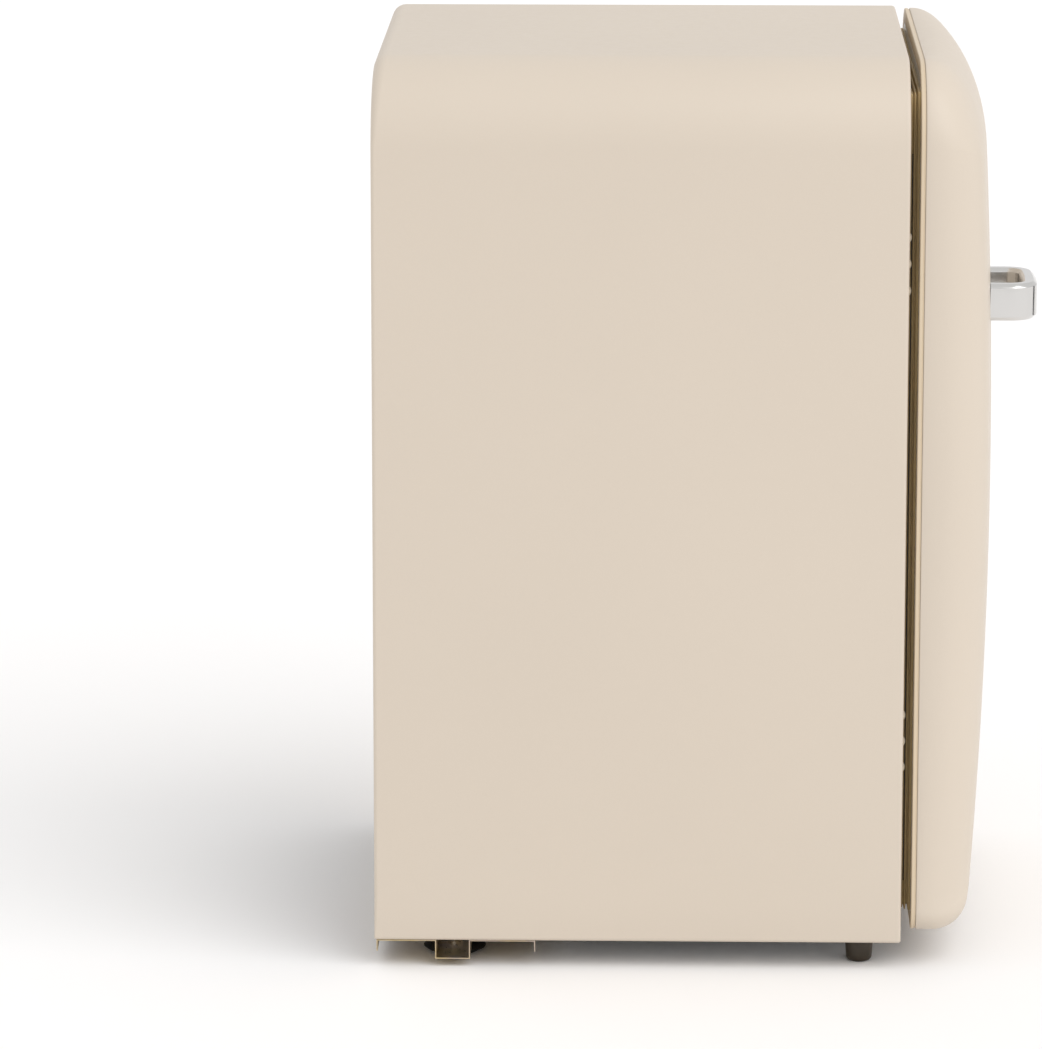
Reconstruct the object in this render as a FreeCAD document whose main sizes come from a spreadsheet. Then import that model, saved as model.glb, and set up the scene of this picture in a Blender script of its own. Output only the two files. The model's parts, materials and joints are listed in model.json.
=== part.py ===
"""Parametric model of a retro table-top mini fridge, as an assembly of separate named pieces.

Millimetres. +Z is up, the door faces -Y, and +X is to the right of someone facing the door.
The origin lies on the floor, at the middle of the bounding box, handle included.
Every driving dimension is a named cell of the sheet "Sizes"; the pieces are bound to the cells.
"""
import FreeCAD
import Part
import Sketcher
import os
import re

Vector = FreeCAD.Vector
Rotation = FreeCAD.Rotation
Placement = FreeCAD.Placement

DRIVING_DIMENSIONS = (
    # cabinet
    ("half_width", 275, "half the cabinet's width"),
    ("cabinet_top", 895, "top of the cabinet above the floor"),
    ("cabinet_base", 27, "lower edge of the cabinet's sides"),
    ("cabinet_front", -193.5, "front face of the cabinet"),
    ("cabinet_rear", 324.5, "rear edge of the cabinet"),
    ("corner_radius", 82, "radius of the cabinet's upper side corners"),
    ("rim_allowance", 15, "how far the foam stays clear of the rolled rear rim"),
    ("sheet", 1.2, "steel sheet"),
    ("opening_half_width", 230, "front flange: half width of its opening"),
    ("opening_low", 69, "front flange: lower edge of its opening"),
    ("opening_high", 848, "front flange: upper edge of its opening"),
    ("opening_radius", 36, "front flange: upper corner radius of its opening"),
    ("return_flange", 20, "width of the folds along the cabinet's lower edges"),
    # lined cavity
    ("cavity_half_width", 226, "inside half width"),
    ("cavity_low", 73, "inside floor"),
    ("cavity_high", 844, "inside ceiling"),
    ("cavity_rear", 262, "inside back wall"),
    ("cavity_radius", 32, "inside upper corner radius"),
    ("liner_wall", 2, "moulded liner's thickness"),
    ("step_front", 108, "front of the step over the compressor"),
    ("step_top", 282, "top of the step over the compressor"),
    ("rib_reach", 10, "how far the shelf ribs stand in from the walls"),
    # compressor niche
    ("niche_front", 160, "front wall of the niche"),
    ("niche_top", 235, "roof of the niche"),
    # door
    ("door_half_width", 273, "half the door's width"),
    ("door_low", 36, "door's lower edge"),
    ("door_high", 892.5, "door's upper edge"),
    ("door_back", -203.5, "door's back plane"),
    ("door_crown", -285, "frontmost point of the door's pillowed face"),
    ("door_radius", 80, "door's upper corner radius"),
    ("door_low_radius", 31, "door's lower corner radius"),
    ("door_edge_radius", 28, "rounding all around the door's face"),
    ("crown_across", 3000, "door face's radius across its width"),
    ("crown_along", 6400, "door face's radius along its height"),
    ("crown_height", 495, "height of the door face's crown"),
    ("trim_depth", 4.5, "depth of the plastic frame behind the door's skin"),
    ("trim_width", 15, "width of that frame"),
    ("dyke_half_width", 213, "raised wall inside the door: half width"),
    ("dyke_low", 88, "raised wall inside the door: lower edge"),
    ("dyke_high", 832, "raised wall inside the door: upper edge"),
    ("dyke_wall", 8, "raised wall inside the door: thickness"),
    ("dyke_depth", 40, "raised wall inside the door: height off the panel"),
    # gasket
    ("gasket_half_width", 246, "gasket's outer half width"),
    ("gasket_low", 53, "gasket's lower edge"),
    ("gasket_high", 866, "gasket's upper edge"),
    ("gasket_radius", 52, "gasket's upper corner radius"),
    ("gasket_width", 13, "gasket's width"),
    ("gasket_clearance", 0.4, "closed gasket to the cabinet's flange"),
    # hinges
    ("pivot_across", 270.9, "hinge axis, across"),
    ("pin_radius", 2.5, "hinge pin"),
    ("pin_clearance", 0.05, "running clearance of the hinge pin"),
    ("knuckle_radius", 4.1, "hinge knuckle"),
    ("hinge_half_height", 40, "half the height of a hinge"),
    ("upper_hinge", 701, "height of the upper hinge's middle"),
    ("lower_hinge", 228, "height of the lower hinge's middle"),
    ("hinge_screw_pitch", 26, "distance between a hinge's screws"),
    ("plug_radius", 5, "domed plug of an unused hinge hole"),
    ("plug_rise", 2.6, "height of a plug's dome"),
    # handle
    ("handle_near", -172, "handle's outer side, across"),
    ("handle_span", 112, "handle's width"),
    ("handle_low", 630.5, "handle's lower edge"),
    ("handle_band", 36.5, "height of the handle's bar"),
    ("handle_front", -324.5, "frontmost point of the handle"),
    ("handle_sheet", 15, "thickness of the handle's bar"),
    ("handle_bend", 27, "outer radius of the handle's bends"),
    # inside fittings
    ("shelf_front", -86, "front edge of the shelves"),
    ("shelf_half_width", 223, "half width of the shelves"),
    ("glass", 4, "shelf glass"),
    ("lower_shelf", 430, "height of the lower shelf"),
    ("upper_shelf", 570, "height of the upper shelf"),
    ("cover_height", 262, "height of the crisper's glass cover"),
    ("rack_rear", -120, "how far the door racks reach into the cabinet"),
    ("icebox_front", -65, "front of the icebox"),
    ("icebox_low", 735, "bottom of the icebox"),
    ("icebox_high", 828, "top of the icebox"),
    ("icebox_half_width", 205, "half width of the icebox"),
    # machinery
    ("plate_front", 166, "base plate's front flange"),
    ("plate_rear", 322.5, "base plate's rear flange"),
    ("plate_flange_low", 15.4, "lower edge of the base plate's flanges"),
    ("rail_front", 230.2, "channel pressed into the base plate, front side"),
    ("rail_rear", 264.7, "channel pressed into the base plate, rear side"),
    ("rail_low", 7.7, "underside of that channel"),
    ("rear_foot_radius", 31, "rear foot"),
    ("rear_foot_across", 207, "rear foot's middle, across"),
    ("front_foot_radius", 14, "front foot"),
    ("front_foot_across", 237, "front foot's middle, across"),
    ("front_foot_along", -153.8, "front foot's middle, along"),
    ("stud_radius", 4, "front foot's threaded stud"),
    ("compressor_across", 62, "compressor's middle, across"),
    ("compressor_along", 244, "compressor's middle, along"),
    ("compressor_radius", 62, "compressor's shell"),
    ("coil_tube", 2.4, "radius of the condenser's tube"),
    ("fit_gap", 0.3, "play between pieces that nest"),
)

doc = FreeCAD.newDocument("MiniFridge")
sizes = doc.addObject("Spreadsheet::Sheet", "Sizes")
for row, (alias, value, note) in enumerate(DRIVING_DIMENSIONS, start=1):
    sizes.set("A%d" % row, alias)
    sizes.set("B%d" % row, str(value))
    sizes.set("C%d" % row, note)
    sizes.setAlias("B%d" % row, alias)
doc.recompute()

ALIASES = {alias for alias, value, note in DRIVING_DIMENSIONS}
SCRATCH_CELL = "E1"
nodes = {}


# ---------------------------------------------------------------- expressions

def bound(expression):
    """The expression with every alias written as a reference to the sheet."""
    def reference(match):
        word = match.group()
        return "Sizes." + word if word in ALIASES else word
    return re.sub(r"[a-z_]+", reference, str(expression))


def number(expression):
    """The expression's present value, worked out by the sheet itself."""
    sizes.set(SCRATCH_CELL, "=" + str(expression))
    sizes.recompute()
    value = float(sizes.get(SCRATCH_CELL))
    sizes.clear(SCRATCH_CELL)
    return value


def bind(piece, **expressions):
    """Bind properties of a piece to expressions; double underscores stand for dots."""
    for name, expression in expressions.items():
        piece.setExpression(name.replace("__", "."), bound(expression))


def publish(name, piece):
    """Make a finished piece a node of the assembly."""
    piece.Label = name
    nodes[name] = piece
    return piece


# ---------------------------------------------------------------- primitives

def box(name, x, y, z):
    """A box between two expressions on each axis."""
    piece = doc.addObject("Part::Box", name)
    for side, axis, (low, high) in zip(("Length", "Width", "Height"), "xyz", (x, y, z)):
        piece.setExpression(side, bound("(%s) - (%s)" % (high, low)))
        piece.setExpression("Placement.Base." + axis, bound(low))
    return piece


TURNS = {"x": Rotation(Vector(0, 1, 0), 90), "y": Rotation(Vector(1, 0, 0), -90), "z": Rotation()}


def cylinder(name, axis, centre, radius, span):
    """A cylinder along an axis, with its centre on the other two axes in order."""
    piece = doc.addObject("Part::Cylinder", name)
    piece.Placement = Placement(Vector(), TURNS[axis])
    low, high = span
    places = dict(zip([other for other in "xyz" if other != axis], centre))
    places[axis] = low
    for other, place in places.items():
        piece.setExpression("Placement.Base." + other, bound(place))
    bind(piece, Radius=radius, Height="(%s) - (%s)" % (high, low))
    return piece


def join(name, *pieces):
    """One solid from pieces that touch."""
    fused = doc.addObject("Part::MultiFuse", name)
    fused.Shapes = list(pieces)
    fused.Refine = True
    return fused


def group(name, *pieces):
    """Separate solids that share one node."""
    together = doc.addObject("Part::Compound", name)
    together.Links = list(pieces)
    return together


def cut(name, base, *tools):
    """The base less the tools."""
    piece = doc.addObject("Part::Cut", name)
    piece.Base = base
    piece.Tool = tools[0] if len(tools) == 1 else join(name + "_tools", *tools)
    piece.Refine = True
    return piece


def overlap(name, first, second):
    """What two pieces share."""
    piece = doc.addObject("Part::MultiCommon", name)
    piece.Shapes = [first, second]
    return piece


# ---------------------------------------------------------------- sketches and bodies

PLANES = {"across": "XZ_Plane", "side": "YZ_Plane", "plan": "XY_Plane"}


def new_body(name):
    return doc.addObject("PartDesign::Body", name)


def new_sketch(body, name, view, level):
    """A sketch seen from the front (across), the side or above (plan), at a level on its normal."""
    sketch = body.newObject("Sketcher::SketchObject", name)
    plane = [feature for feature in body.Origin.OriginFeatures if feature.Role == PLANES[view]][0]
    sketch.AttachmentSupport = [(plane, "")]
    sketch.MapMode = "FlatFace"
    sign = "-1 * " if view == "across" else ""
    sketch.setExpression("AttachmentOffset.Base.z", bound("%s(%s)" % (sign, level)))
    return sketch


def constrain(sketch, kind, *arguments):
    """Add a constraint; a last argument that is text binds its value to the sheet."""
    if isinstance(arguments[-1], str):
        arguments, expression = arguments[:-1], arguments[-1]
        index = sketch.addConstraint(Sketcher.Constraint(kind, *arguments, number(expression)))
        sketch.setExpression("Constraints[%d]" % index, bound(expression))
    else:
        sketch.addConstraint(Sketcher.Constraint(kind, *arguments))


def outline(sketch, *corners):
    """A closed outline of level and upright sides, given by its corners.

    A corner is (across, up) or (across, up, radius), and corners alternate so that each side is
    level or upright.
    """
    spots = [(number(corner[0]), number(corner[1])) for corner in corners]
    radii = [number(corner[2]) if len(corner) > 2 else 0 for corner in corners]
    count = len(corners)
    lines = []
    for index in range(count):
        after = (index + 1) % count
        start, end = Vector(*spots[index], 0), Vector(*spots[after], 0)
        along = (end - start).normalize()
        line = Part.LineSegment(start + along * radii[index], end - along * radii[after])
        lines.append(sketch.addGeometry(line, False))
        level = abs(along.x) > abs(along.y)
        constrain(sketch, "Horizontal" if level else "Vertical", lines[-1])
        side = "DistanceY" if level else "DistanceX"
        constrain(sketch, side, -1, 1, lines[-1], 1, str(corners[index][1 if level else 0]))
    for index in range(count):
        before, after = lines[index - 1], lines[index]
        if not radii[index]:
            constrain(sketch, "Coincident", before, 2, after, 1)
            continue
        corner = Vector(*spots[index], 0)
        arriving = (corner - Vector(*spots[index - 1], 0)).normalize()
        leaving = (Vector(*spots[(index + 1) % count], 0) - corner).normalize()
        start, end = corner - arriving * radii[index], corner + leaving * radii[index]
        middle = corner + (leaving - arriving) * radii[index] * (1 - 0.5 ** 0.5)
        turns_left = arriving.x * leaving.y - arriving.y * leaving.x > 0
        ends = (start, end) if turns_left else (end, start)
        arc = sketch.addGeometry(Part.Arc(ends[0], middle, ends[1]), False)
        first, second = (1, 2) if turns_left else (2, 1)
        constrain(sketch, "Tangent", before, 2, arc, first)
        constrain(sketch, "Tangent", after, 1, arc, second)
        constrain(sketch, "Radius", arc, str(corners[index][2]))


def arch(half_width, low, high, radius, low_radius=None):
    """Corners of an upright panel with rounded upper corners and, if asked, lower ones."""
    lower = (low_radius,) if low_radius else ()
    return (("-(%s)" % half_width, low, *lower), (half_width, low, *lower),
            (half_width, high, radius), ("-(%s)" % half_width, high, radius))


def pad(body, sketch, length, name="pad"):
    feature = body.newObject("PartDesign::Pad", name)
    feature.Profile = sketch
    bind(feature, Length=length)
    return feature


def panel(name, front, rear, *outlines):
    """A body with front-view outlines, padded from rear to front; inner outlines are openings."""
    body = new_body(name)
    add_panel(body, name, front, rear, *outlines)
    return body


def add_panel(body, name, front, rear, *outlines):
    sketch = new_sketch(body, name + "_outline", "across", rear)
    for corners in outlines:
        outline(sketch, *corners)
    pad(body, sketch, "(%s) - (%s)" % (rear, front), name + "_pad")


def section(name, left, right, *corners):
    """A body with a side-view outline (along, up), padded from left to right."""
    body = new_body(name)
    sketch = new_sketch(body, name + "_outline", "side", left)
    outline(sketch, *corners)
    pad(body, sketch, "(%s) - (%s)" % (right, left), name + "_pad")
    return body


def tray(name, x, y, z, wall):
    """An open-topped box with walls and a floor."""
    inner = [("%s + %s" % (low, wall), "%s - %s" % (high, wall)) for low, high in (x, y)]
    return cut(name, box(name + "_block", x, y, z),
               box(name + "_hollow", inner[0], inner[1], ("%s + %s" % (z[0], wall), "%s + 1" % z[1])))


def routed_tube(name, points, radius, bend):
    """A bent tube: straight runs joined by tangent arcs through the given points."""
    edges = []
    start = Vector(*points[0])
    for before, corner, after in zip(points, points[1:], points[2:]):
        corner = Vector(*corner)
        arriving = (corner - Vector(*before)).normalize()
        leaving = (Vector(*after) - corner).normalize()
        reach = bend * (1 - arriving.dot(leaving)) / max(arriving.cross(leaving).Length, 1e-9)
        first, last = corner - arriving * reach, corner + leaving * reach
        inward = (leaving - arriving).normalize()
        centre_distance = (bend ** 2 + reach ** 2) ** 0.5
        middle = corner + inward * (centre_distance - bend)
        edges.append(Part.makeLine(start, first))
        edges.append(Part.Arc(first, middle, last).toShape())
        start = last
    edges.append(Part.makeLine(start, Vector(*points[-1])))
    path = Part.Wire(edges)
    direction = Vector(*points[1]) - Vector(*points[0])
    ring = Part.Wire(Part.makeCircle(radius, Vector(*points[0]), direction))
    piece = doc.addObject("Part::Feature", name)
    piece.Shape = path.makePipeShell([ring], True, False)
    return piece


def plain(low, high, bottom, top):
    """Corners of a plain upright rectangle."""
    return ((low, bottom), (high, bottom), (high, top), (low, top))


# ---------------------------------------------------------------- cabinet

INSIDE = "half_width - sheet - fit_gap"
REAR_PLANE = "cabinet_rear - 1"
PAN_TOP = "cabinet_base + 2 * sheet"
HINGES = ("upper_hinge", "lower_hinge")
SCREW_ACROSS = "pivot_across - 14"


def cavity_form(name, grow, front):
    """The lined space as a solid, grown outwards; the step over the compressor is left out."""
    hall = panel(name + "_hall", front, "cavity_rear + %s" % grow,
                 arch("cavity_half_width + %s" % grow, "cavity_low - %s" % grow,
                      "cavity_high + %s" % grow, "cavity_radius + %s" % grow, "6 + %s" % grow))
    step = box(name + "_step", ("-300", "300"), ("step_front + %s" % grow, "400"),
               ("0", "step_top - %s" % grow))
    return cut(name, hall, step)


def hinge_rows(across):
    """Places of the screws of both hinges, or of the plugs on the other side."""
    return [(across, "%s + %d * hinge_screw_pitch" % (hinge, step))
            for hinge in HINGES for step in (-1, 0, 1)]


def screw(name, place, head_face, head, shank, tip, head_radius=4.2, direction=1):
    """A round-headed screw along Y; its head stands in front of or behind its face."""
    outer = "%s - %s" % (head_face, head) if direction > 0 else "%s + %s" % (head_face, head)
    head_span = (outer, head_face) if direction > 0 else (head_face, outer)
    shank_span = (head_face, tip) if direction > 0 else (tip, head_face)
    return join(name, cylinder(name + "_head", "y", place, head_radius, head_span),
                cylinder(name + "_shank", "y", place, shank, shank_span))


def make_cabinet_shell(holes):
    body = new_body("shell_body")
    wrap = new_sketch(body, "wrap_outline", "across", "cabinet_rear")
    inner, top, radius = "half_width - sheet", "cabinet_top - sheet", "corner_radius - sheet"
    outline(wrap,
            ("-half_width", "cabinet_base"), ("-half_width", "cabinet_top", "corner_radius"),
            ("half_width", "cabinet_top", "corner_radius"), ("half_width", "cabinet_base"),
            (inner, "cabinet_base"), (inner, top, radius),
            ("-(%s)" % inner, top, radius), ("-(%s)" % inner, "cabinet_base"))
    pad(body, wrap, "cabinet_rear - cabinet_front", "wrap")
    add_panel(body, "front_flange", "cabinet_front", "cabinet_front + sheet",
              arch("half_width", "cabinet_base", "cabinet_top", "corner_radius"),
              arch("opening_half_width", "opening_low", "opening_high", "opening_radius", "10"))
    for name, low, high in (("left_fold", "-half_width", "-half_width + return_flange"),
                            ("right_fold", "half_width - return_flange", "half_width")):
        add_panel(body, name, "cabinet_front", "cabinet_rear",
                  plain(low, high, "cabinet_base", "cabinet_base + sheet"))
    publish("cabinet_shell", cut("shell_with_holes", body, *holes))


def make_cabinet_panels(drain):
    panel_rear = panel("rear_sheet", "%s - sheet" % REAR_PLANE, REAR_PLANE,
                       arch(INSIDE, "niche_top", "cabinet_top - sheet - fit_gap",
                            "corner_radius - sheet"))
    places = [("%d * 250" % side, height) for side in (-1, 1) for height in ("260", "440", "620", "790")]
    screws = [screw("rear_screw_%d" % index, place, REAR_PLANE, "0.9", "1.6", "%s - 12" % REAR_PLANE,
                    direction=-1) for index, place in enumerate(places)]
    publish("rear_panel", cut("rear_panel_cut", panel_rear, *screws))
    publish("rear_panel_screws", group("rear_screws", *screws))
    rear = "%s - sheet" % REAR_PLANE
    niche = section("niche_sheet", "-(%s)" % INSIDE, INSIDE,
                    ("niche_front - sheet", PAN_TOP), ("niche_front", PAN_TOP),
                    ("niche_front", "niche_top"), (rear, "niche_top"),
                    (rear, "niche_top + sheet"), ("niche_front - sheet", "niche_top + sheet"))
    publish("compartment_panel", cut("compartment_cut", niche, drain))
    return screws


def make_bottom_pan(foot_bores):
    pan = box("pan", ("-(%s)" % INSIDE, INSIDE), ("cabinet_front + sheet", "niche_front"),
              ("cabinet_base + sheet", PAN_TOP))
    publish("bottom_pan", cut("pan_cut", pan, *foot_bores))


def make_inner_liner(drain):
    shell = cavity_form("liner_outside", "liner_wall", "cabinet_front - 1.5")
    lip = panel("liner_lip", "cabinet_front - 1.5", "cabinet_front",
                arch("cavity_half_width + 5.7", "cavity_low - 5.7", "cavity_high + 5.7",
                     "cavity_radius + 5.7", "11.7"))
    hollow = cavity_form("liner_inside", "0", "cabinet_front - 3")
    shell = cut("liner_shell", join("liner_and_lip", shell, lip), hollow, drain)
    ribs = []
    for height, depth in (("cover_height", "step_front - 4"), ("lower_shelf", "250"),
                          ("upper_shelf", "250"), ("720", "235")):
        for name, low, high in (("left", "-cavity_half_width", "-cavity_half_width + rib_reach"),
                                ("right", "cavity_half_width - rib_reach", "cavity_half_width")):
            ribs.append(box("%s_rib_%d" % (name, len(ribs)), (low, high),
                            ("shelf_front + 14", depth), ("%s - 10" % height, height)))
    publish("inner_liner", join("liner_with_ribs", shell, *ribs))


def make_cabinet_foam(buried):
    block = new_body("foam_block")
    add_panel(block, "foam_main", "cabinet_front + sheet", "cabinet_rear - rim_allowance",
              arch(INSIDE, PAN_TOP, "cabinet_top - sheet - fit_gap", "corner_radius - sheet"))
    add_panel(block, "foam_rear", "cabinet_rear - rim_allowance", "%s - sheet" % REAR_PLANE,
              arch("half_width - rim_allowance", PAN_TOP, "cabinet_top - rim_allowance",
                   "corner_radius - rim_allowance"))
    niche = box("foam_niche", ("-300", "300"), ("niche_front - sheet", "400"),
                ("0", "niche_top + sheet"))
    lined = cavity_form("foam_cavity", "(liner_wall + fit_gap)", "cabinet_front - 2")
    publish("cabinet_foam", cut("foam_cut", block, niche, lined, *buried))


def coil_route(side, across):
    """The serpentine of one side wall: upright runs, joined at their ends."""
    low, high, pitch, runs = 110, 770, 58, 6
    points = [(side * across, -150, low)]
    for run in range(runs):
        along = -150 + pitch * run
        ends = (low, high) if run % 2 == 0 else (high, low)
        if run:
            points.append((side * across, along, ends[0]))
        points.append((side * across, along, ends[1]))
    return points


def make_condenser_coil():
    """Two serpentines against the side walls, and the wider channels that the foam leaves them."""
    across = number("half_width - sheet - fit_gap - coil_tube")
    radius = number("coil_tube")
    coils = [routed_tube(name, coil_route(side, across), radius, 22)
             for name, side in (("left_coil", -1), ("right_coil", 1))]
    publish("condenser_coil", group("coils", *coils))
    return [routed_tube(name, coil_route(side, across), radius + number("fit_gap"), 22)
            for name, side in (("left_channel", -1), ("right_channel", 1))]


def make_hole_plugs():
    """Domed plugs in the hinge holes of the side that has no hinges."""
    plugs, stems = [], []
    ball = "((plug_radius ^ 2 + plug_rise ^ 2) / (2 * plug_rise))"
    for index, (across, height) in enumerate(hinge_rows("-(%s)" % SCREW_ACROSS)):
        sphere = doc.addObject("Part::Sphere", "plug_ball_%d" % index)
        bind(sphere, Radius=ball, Placement__Base__x=across, Placement__Base__z=height,
             Placement__Base__y="cabinet_front - plug_rise + %s" % ball)
        front = box("plug_front_%d" % index, ("%s - 10" % across, "%s + 10" % across),
                    ("cabinet_front - 10", "cabinet_front"), ("%s - 10" % height, "%s + 10" % height))
        dome = overlap("plug_dome_%d" % index, sphere, front)
        stem = cylinder("plug_stem_%d" % index, "y", (across, height), "2.2",
                        ("cabinet_front", "cabinet_front + 10"))
        plugs.append(join("plug_%d" % index, dome, stem))
        stems.append(stem)
    publish("hole_plugs", group("plugs", *plugs))
    return stems


# ---------------------------------------------------------------- hinges

PIVOT_ALONG = "((cabinet_front + door_back) / 2)"


def hinge_leaf(name, height, faces, reaches, screws):
    """A leaf with its knuckles; faces are its front and rear, reaches its knuckles' heights."""
    plate = box(name + "_plate", ("pivot_across - 21", "pivot_across - knuckle_radius - 1.1"), faces,
                ("%s - hinge_half_height" % height, "%s + hinge_half_height" % height))
    parts = [plate]
    for index, (low, high) in enumerate(reaches):
        span = ("%s + %s" % (height, low), "%s + %s" % (height, high))
        parts.append(box("%s_arm_%d" % (name, index), ("pivot_across - 10", "pivot_across"), faces, span))
        parts.append(cylinder("%s_knuckle_%d" % (name, index), "z",
                              ("pivot_across", PIVOT_ALONG), "knuckle_radius", span))
    return cut(name, join(name + "_solid", *parts), *screws)


def make_hinges():
    """Two butt hinges in the gap, each with three screws in the flange and three in the door."""
    cabinet_screws = [screw("flange_screw_%d" % index, place, "cabinet_front - 2", "1.8", "1.9",
                            "cabinet_front + 14", 3.8)
                      for index, place in enumerate(hinge_rows(SCREW_ACROSS))]
    door_screws = [screw("door_screw_%d" % index, place, "door_back + 2", "1.8", "1.9",
                         "door_back - 14", 3.8, -1)
                   for index, place in enumerate(hinge_rows(SCREW_ACROSS))]
    outer = [("-hinge_half_height", "-14"), ("14", "hinge_half_height")]
    inner = [("-13.6", "13.6")]
    cabinet_leaves, door_leaves, pins = [], [], []
    for hinge in HINGES:
        place = ("pivot_across", PIVOT_ALONG)
        pin = cylinder(hinge + "_pin", "z", place, "pin_radius",
                       ("%s - hinge_half_height - 1" % hinge, "%s + hinge_half_height" % hinge))
        head = cylinder(hinge + "_pin_head", "z", place, "pin_radius + 1.2",
                        ("%s + hinge_half_height" % hinge, "%s + hinge_half_height + 2.5" % hinge))
        pins.append(join(hinge + "_pin_and_head", pin, head))
        bore = cylinder(hinge + "_bore", "z", place, "pin_radius + pin_clearance",
                        ("%s - 60" % hinge, "%s + 60" % hinge))
        cabinet_leaves.append(hinge_leaf(hinge + "_cabinet_leaf", hinge,
                                         ("cabinet_front - 2", "cabinet_front"), outer,
                                         [pin, *cabinet_screws]))
        door_leaves.append(hinge_leaf(hinge + "_door_leaf", hinge, ("door_back", "door_back + 2"),
                                      inner, [bore, *door_screws]))
    publish("cabinet_hinge_leaves", group("cabinet_leaves", *cabinet_leaves))
    publish("door_hinge_leaves", group("door_leaves", *door_leaves))
    publish("hinge_pins", group("pins", *pins))
    publish("cabinet_hinge_screws", group("flange_screws", *cabinet_screws))
    publish("door_hinge_screws", group("door_screws", *door_screws))
    return cabinet_screws, door_screws


# ---------------------------------------------------------------- door

TRIM_FRONT = "door_back - trim_depth"


def door_form(name, inset, rear):
    """The pillowed door as a solid, its sides and face drawn in by the inset."""
    body = new_body(name)
    sketch = new_sketch(body, name + "_outline", "across", rear)
    outline(sketch, *arch("door_half_width - %s" % inset, "door_low + %s" % inset,
                          "door_high - %s" % inset, "door_radius - %s" % inset,
                          "door_low_radius - %s" % inset))
    pad(body, sketch, "%s - door_crown + 20" % rear, name + "_block")
    shaved = shave_crown(body, name, inset)
    doc.recompute()
    front = number("door_crown + 40")
    edges = ["Edge%d" % (index + 1) for index, edge in enumerate(shaved.Shape.Edges)
             if edge.BoundBox.YMax < front and not is_upright_to_face(edge)]
    rounding = body.newObject("PartDesign::Fillet", name + "_rounding")
    rounding.Base = (shaved, edges)
    bind(rounding, Radius="door_edge_radius - %s" % inset)
    body.Tip = rounding
    return body


def is_upright_to_face(edge):
    """True for an edge that runs along Y."""
    return edge.BoundBox.YLength > 0.9 * edge.Length


def shave_crown(body, name, inset):
    """Cut the block's front to a barrel: an upright arc turned about an upright axis behind it."""
    sketch = new_sketch(body, name + "_crown", "side", "0")
    crown, low, high = number("door_crown + %s" % inset), number("door_low - 40"), number("door_high + 40")
    radius, height = number("crown_along - %s" % inset), number("crown_height")

    def on_arc(level):
        return Vector(crown + radius - (radius ** 2 - (level - height) ** 2) ** 0.5, level, 0)

    front = number("door_crown - 60")
    arc = sketch.addGeometry(Part.Arc(on_arc(high), on_arc(height), on_arc(low)), False)
    foot = sketch.addGeometry(Part.LineSegment(on_arc(low), Vector(front, low, 0)), False)
    back = sketch.addGeometry(Part.LineSegment(Vector(front, low, 0), Vector(front, high, 0)), False)
    head = sketch.addGeometry(Part.LineSegment(Vector(front, high, 0), on_arc(high)), False)
    turn_line = number("door_crown + crown_across")
    axis = sketch.addGeometry(Part.LineSegment(Vector(turn_line, low, 0), Vector(turn_line, high, 0)), True)
    for first, second in ((foot, back), (back, head)):
        constrain(sketch, "Coincident", first, 2, second, 1)
    constrain(sketch, "Coincident", arc, 2, foot, 1)
    constrain(sketch, "Coincident", head, 2, arc, 1)
    for line in (foot, head):
        constrain(sketch, "Horizontal", line)
    for line in (back, axis):
        constrain(sketch, "Vertical", line)
    constrain(sketch, "Radius", arc, "crown_along - %s" % inset)
    constrain(sketch, "DistanceY", -1, 1, arc, 3, "crown_height")
    constrain(sketch, "DistanceX", -1, 1, arc, 3, "door_crown + crown_along")
    constrain(sketch, "DistanceY", -1, 1, foot, 1, "door_low - 40")
    constrain(sketch, "DistanceY", -1, 1, head, 1, "door_high + 40")
    constrain(sketch, "DistanceX", -1, 1, back, 1, "door_crown - 60")
    constrain(sketch, "DistanceX", -1, 1, axis, 1, "door_crown + crown_across")
    constrain(sketch, "DistanceY", -1, 1, axis, 1, "door_low - 40")
    constrain(sketch, "DistanceY", -1, 1, axis, 2, "door_high + 40")
    groove = body.newObject("PartDesign::Groove", name + "_shave")
    groove.Profile = sketch
    groove.ReferenceAxis = (sketch, ["Axis0"])
    groove.Angle = 20
    groove.Midplane = True
    body.Tip = groove
    return groove


def make_door(screws, handle_screws):
    outside = door_form("door_outside", "0", "%s - fit_gap" % TRIM_FRONT)
    inside = door_form("door_inside", "sheet", TRIM_FRONT)
    publish("door_skin", cut("door_shell", outside, inside, *handle_screws))
    trim_opening = ("door_half_width - trim_width", "door_low + trim_width",
                    "door_high - trim_width", "door_radius - trim_width",
                    "door_low_radius - trim_width")
    frame = panel("trim_frame", TRIM_FRONT, "door_back",
                  arch("door_half_width", "door_low", "door_high", "door_radius", "door_low_radius"),
                  arch(*trim_opening))
    publish("door_trim", cut("trim_cut", frame, *screws))
    within = arch("door_half_width - trim_width - fit_gap", "door_low + trim_width + fit_gap",
                  "door_high - trim_width - fit_gap", "door_radius - trim_width - fit_gap",
                  "door_low_radius - trim_width - fit_gap")
    liner = panel("liner_plate", "door_back - liner_wall", "door_back", within)
    dyke = panel("liner_dyke", "door_back", "door_back + dyke_depth",
                 arch("dyke_half_width", "dyke_low", "dyke_high", "38", "14"),
                 arch("dyke_half_width - dyke_wall", "dyke_low + dyke_wall",
                      "dyke_high - dyke_wall", "30", "6"))
    publish("door_liner", cut("door_liner_cut", join("door_liner_solid", liner, dyke), *screws))
    core = door_form("door_core", "(sheet + fit_gap)", TRIM_FRONT)
    backing = panel("door_backing", TRIM_FRONT, "door_back - liner_wall", within)
    publish("door_foam", cut("door_foam_cut", join("door_foam_solid", core, backing),
                             *screws, *handle_screws))


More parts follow.
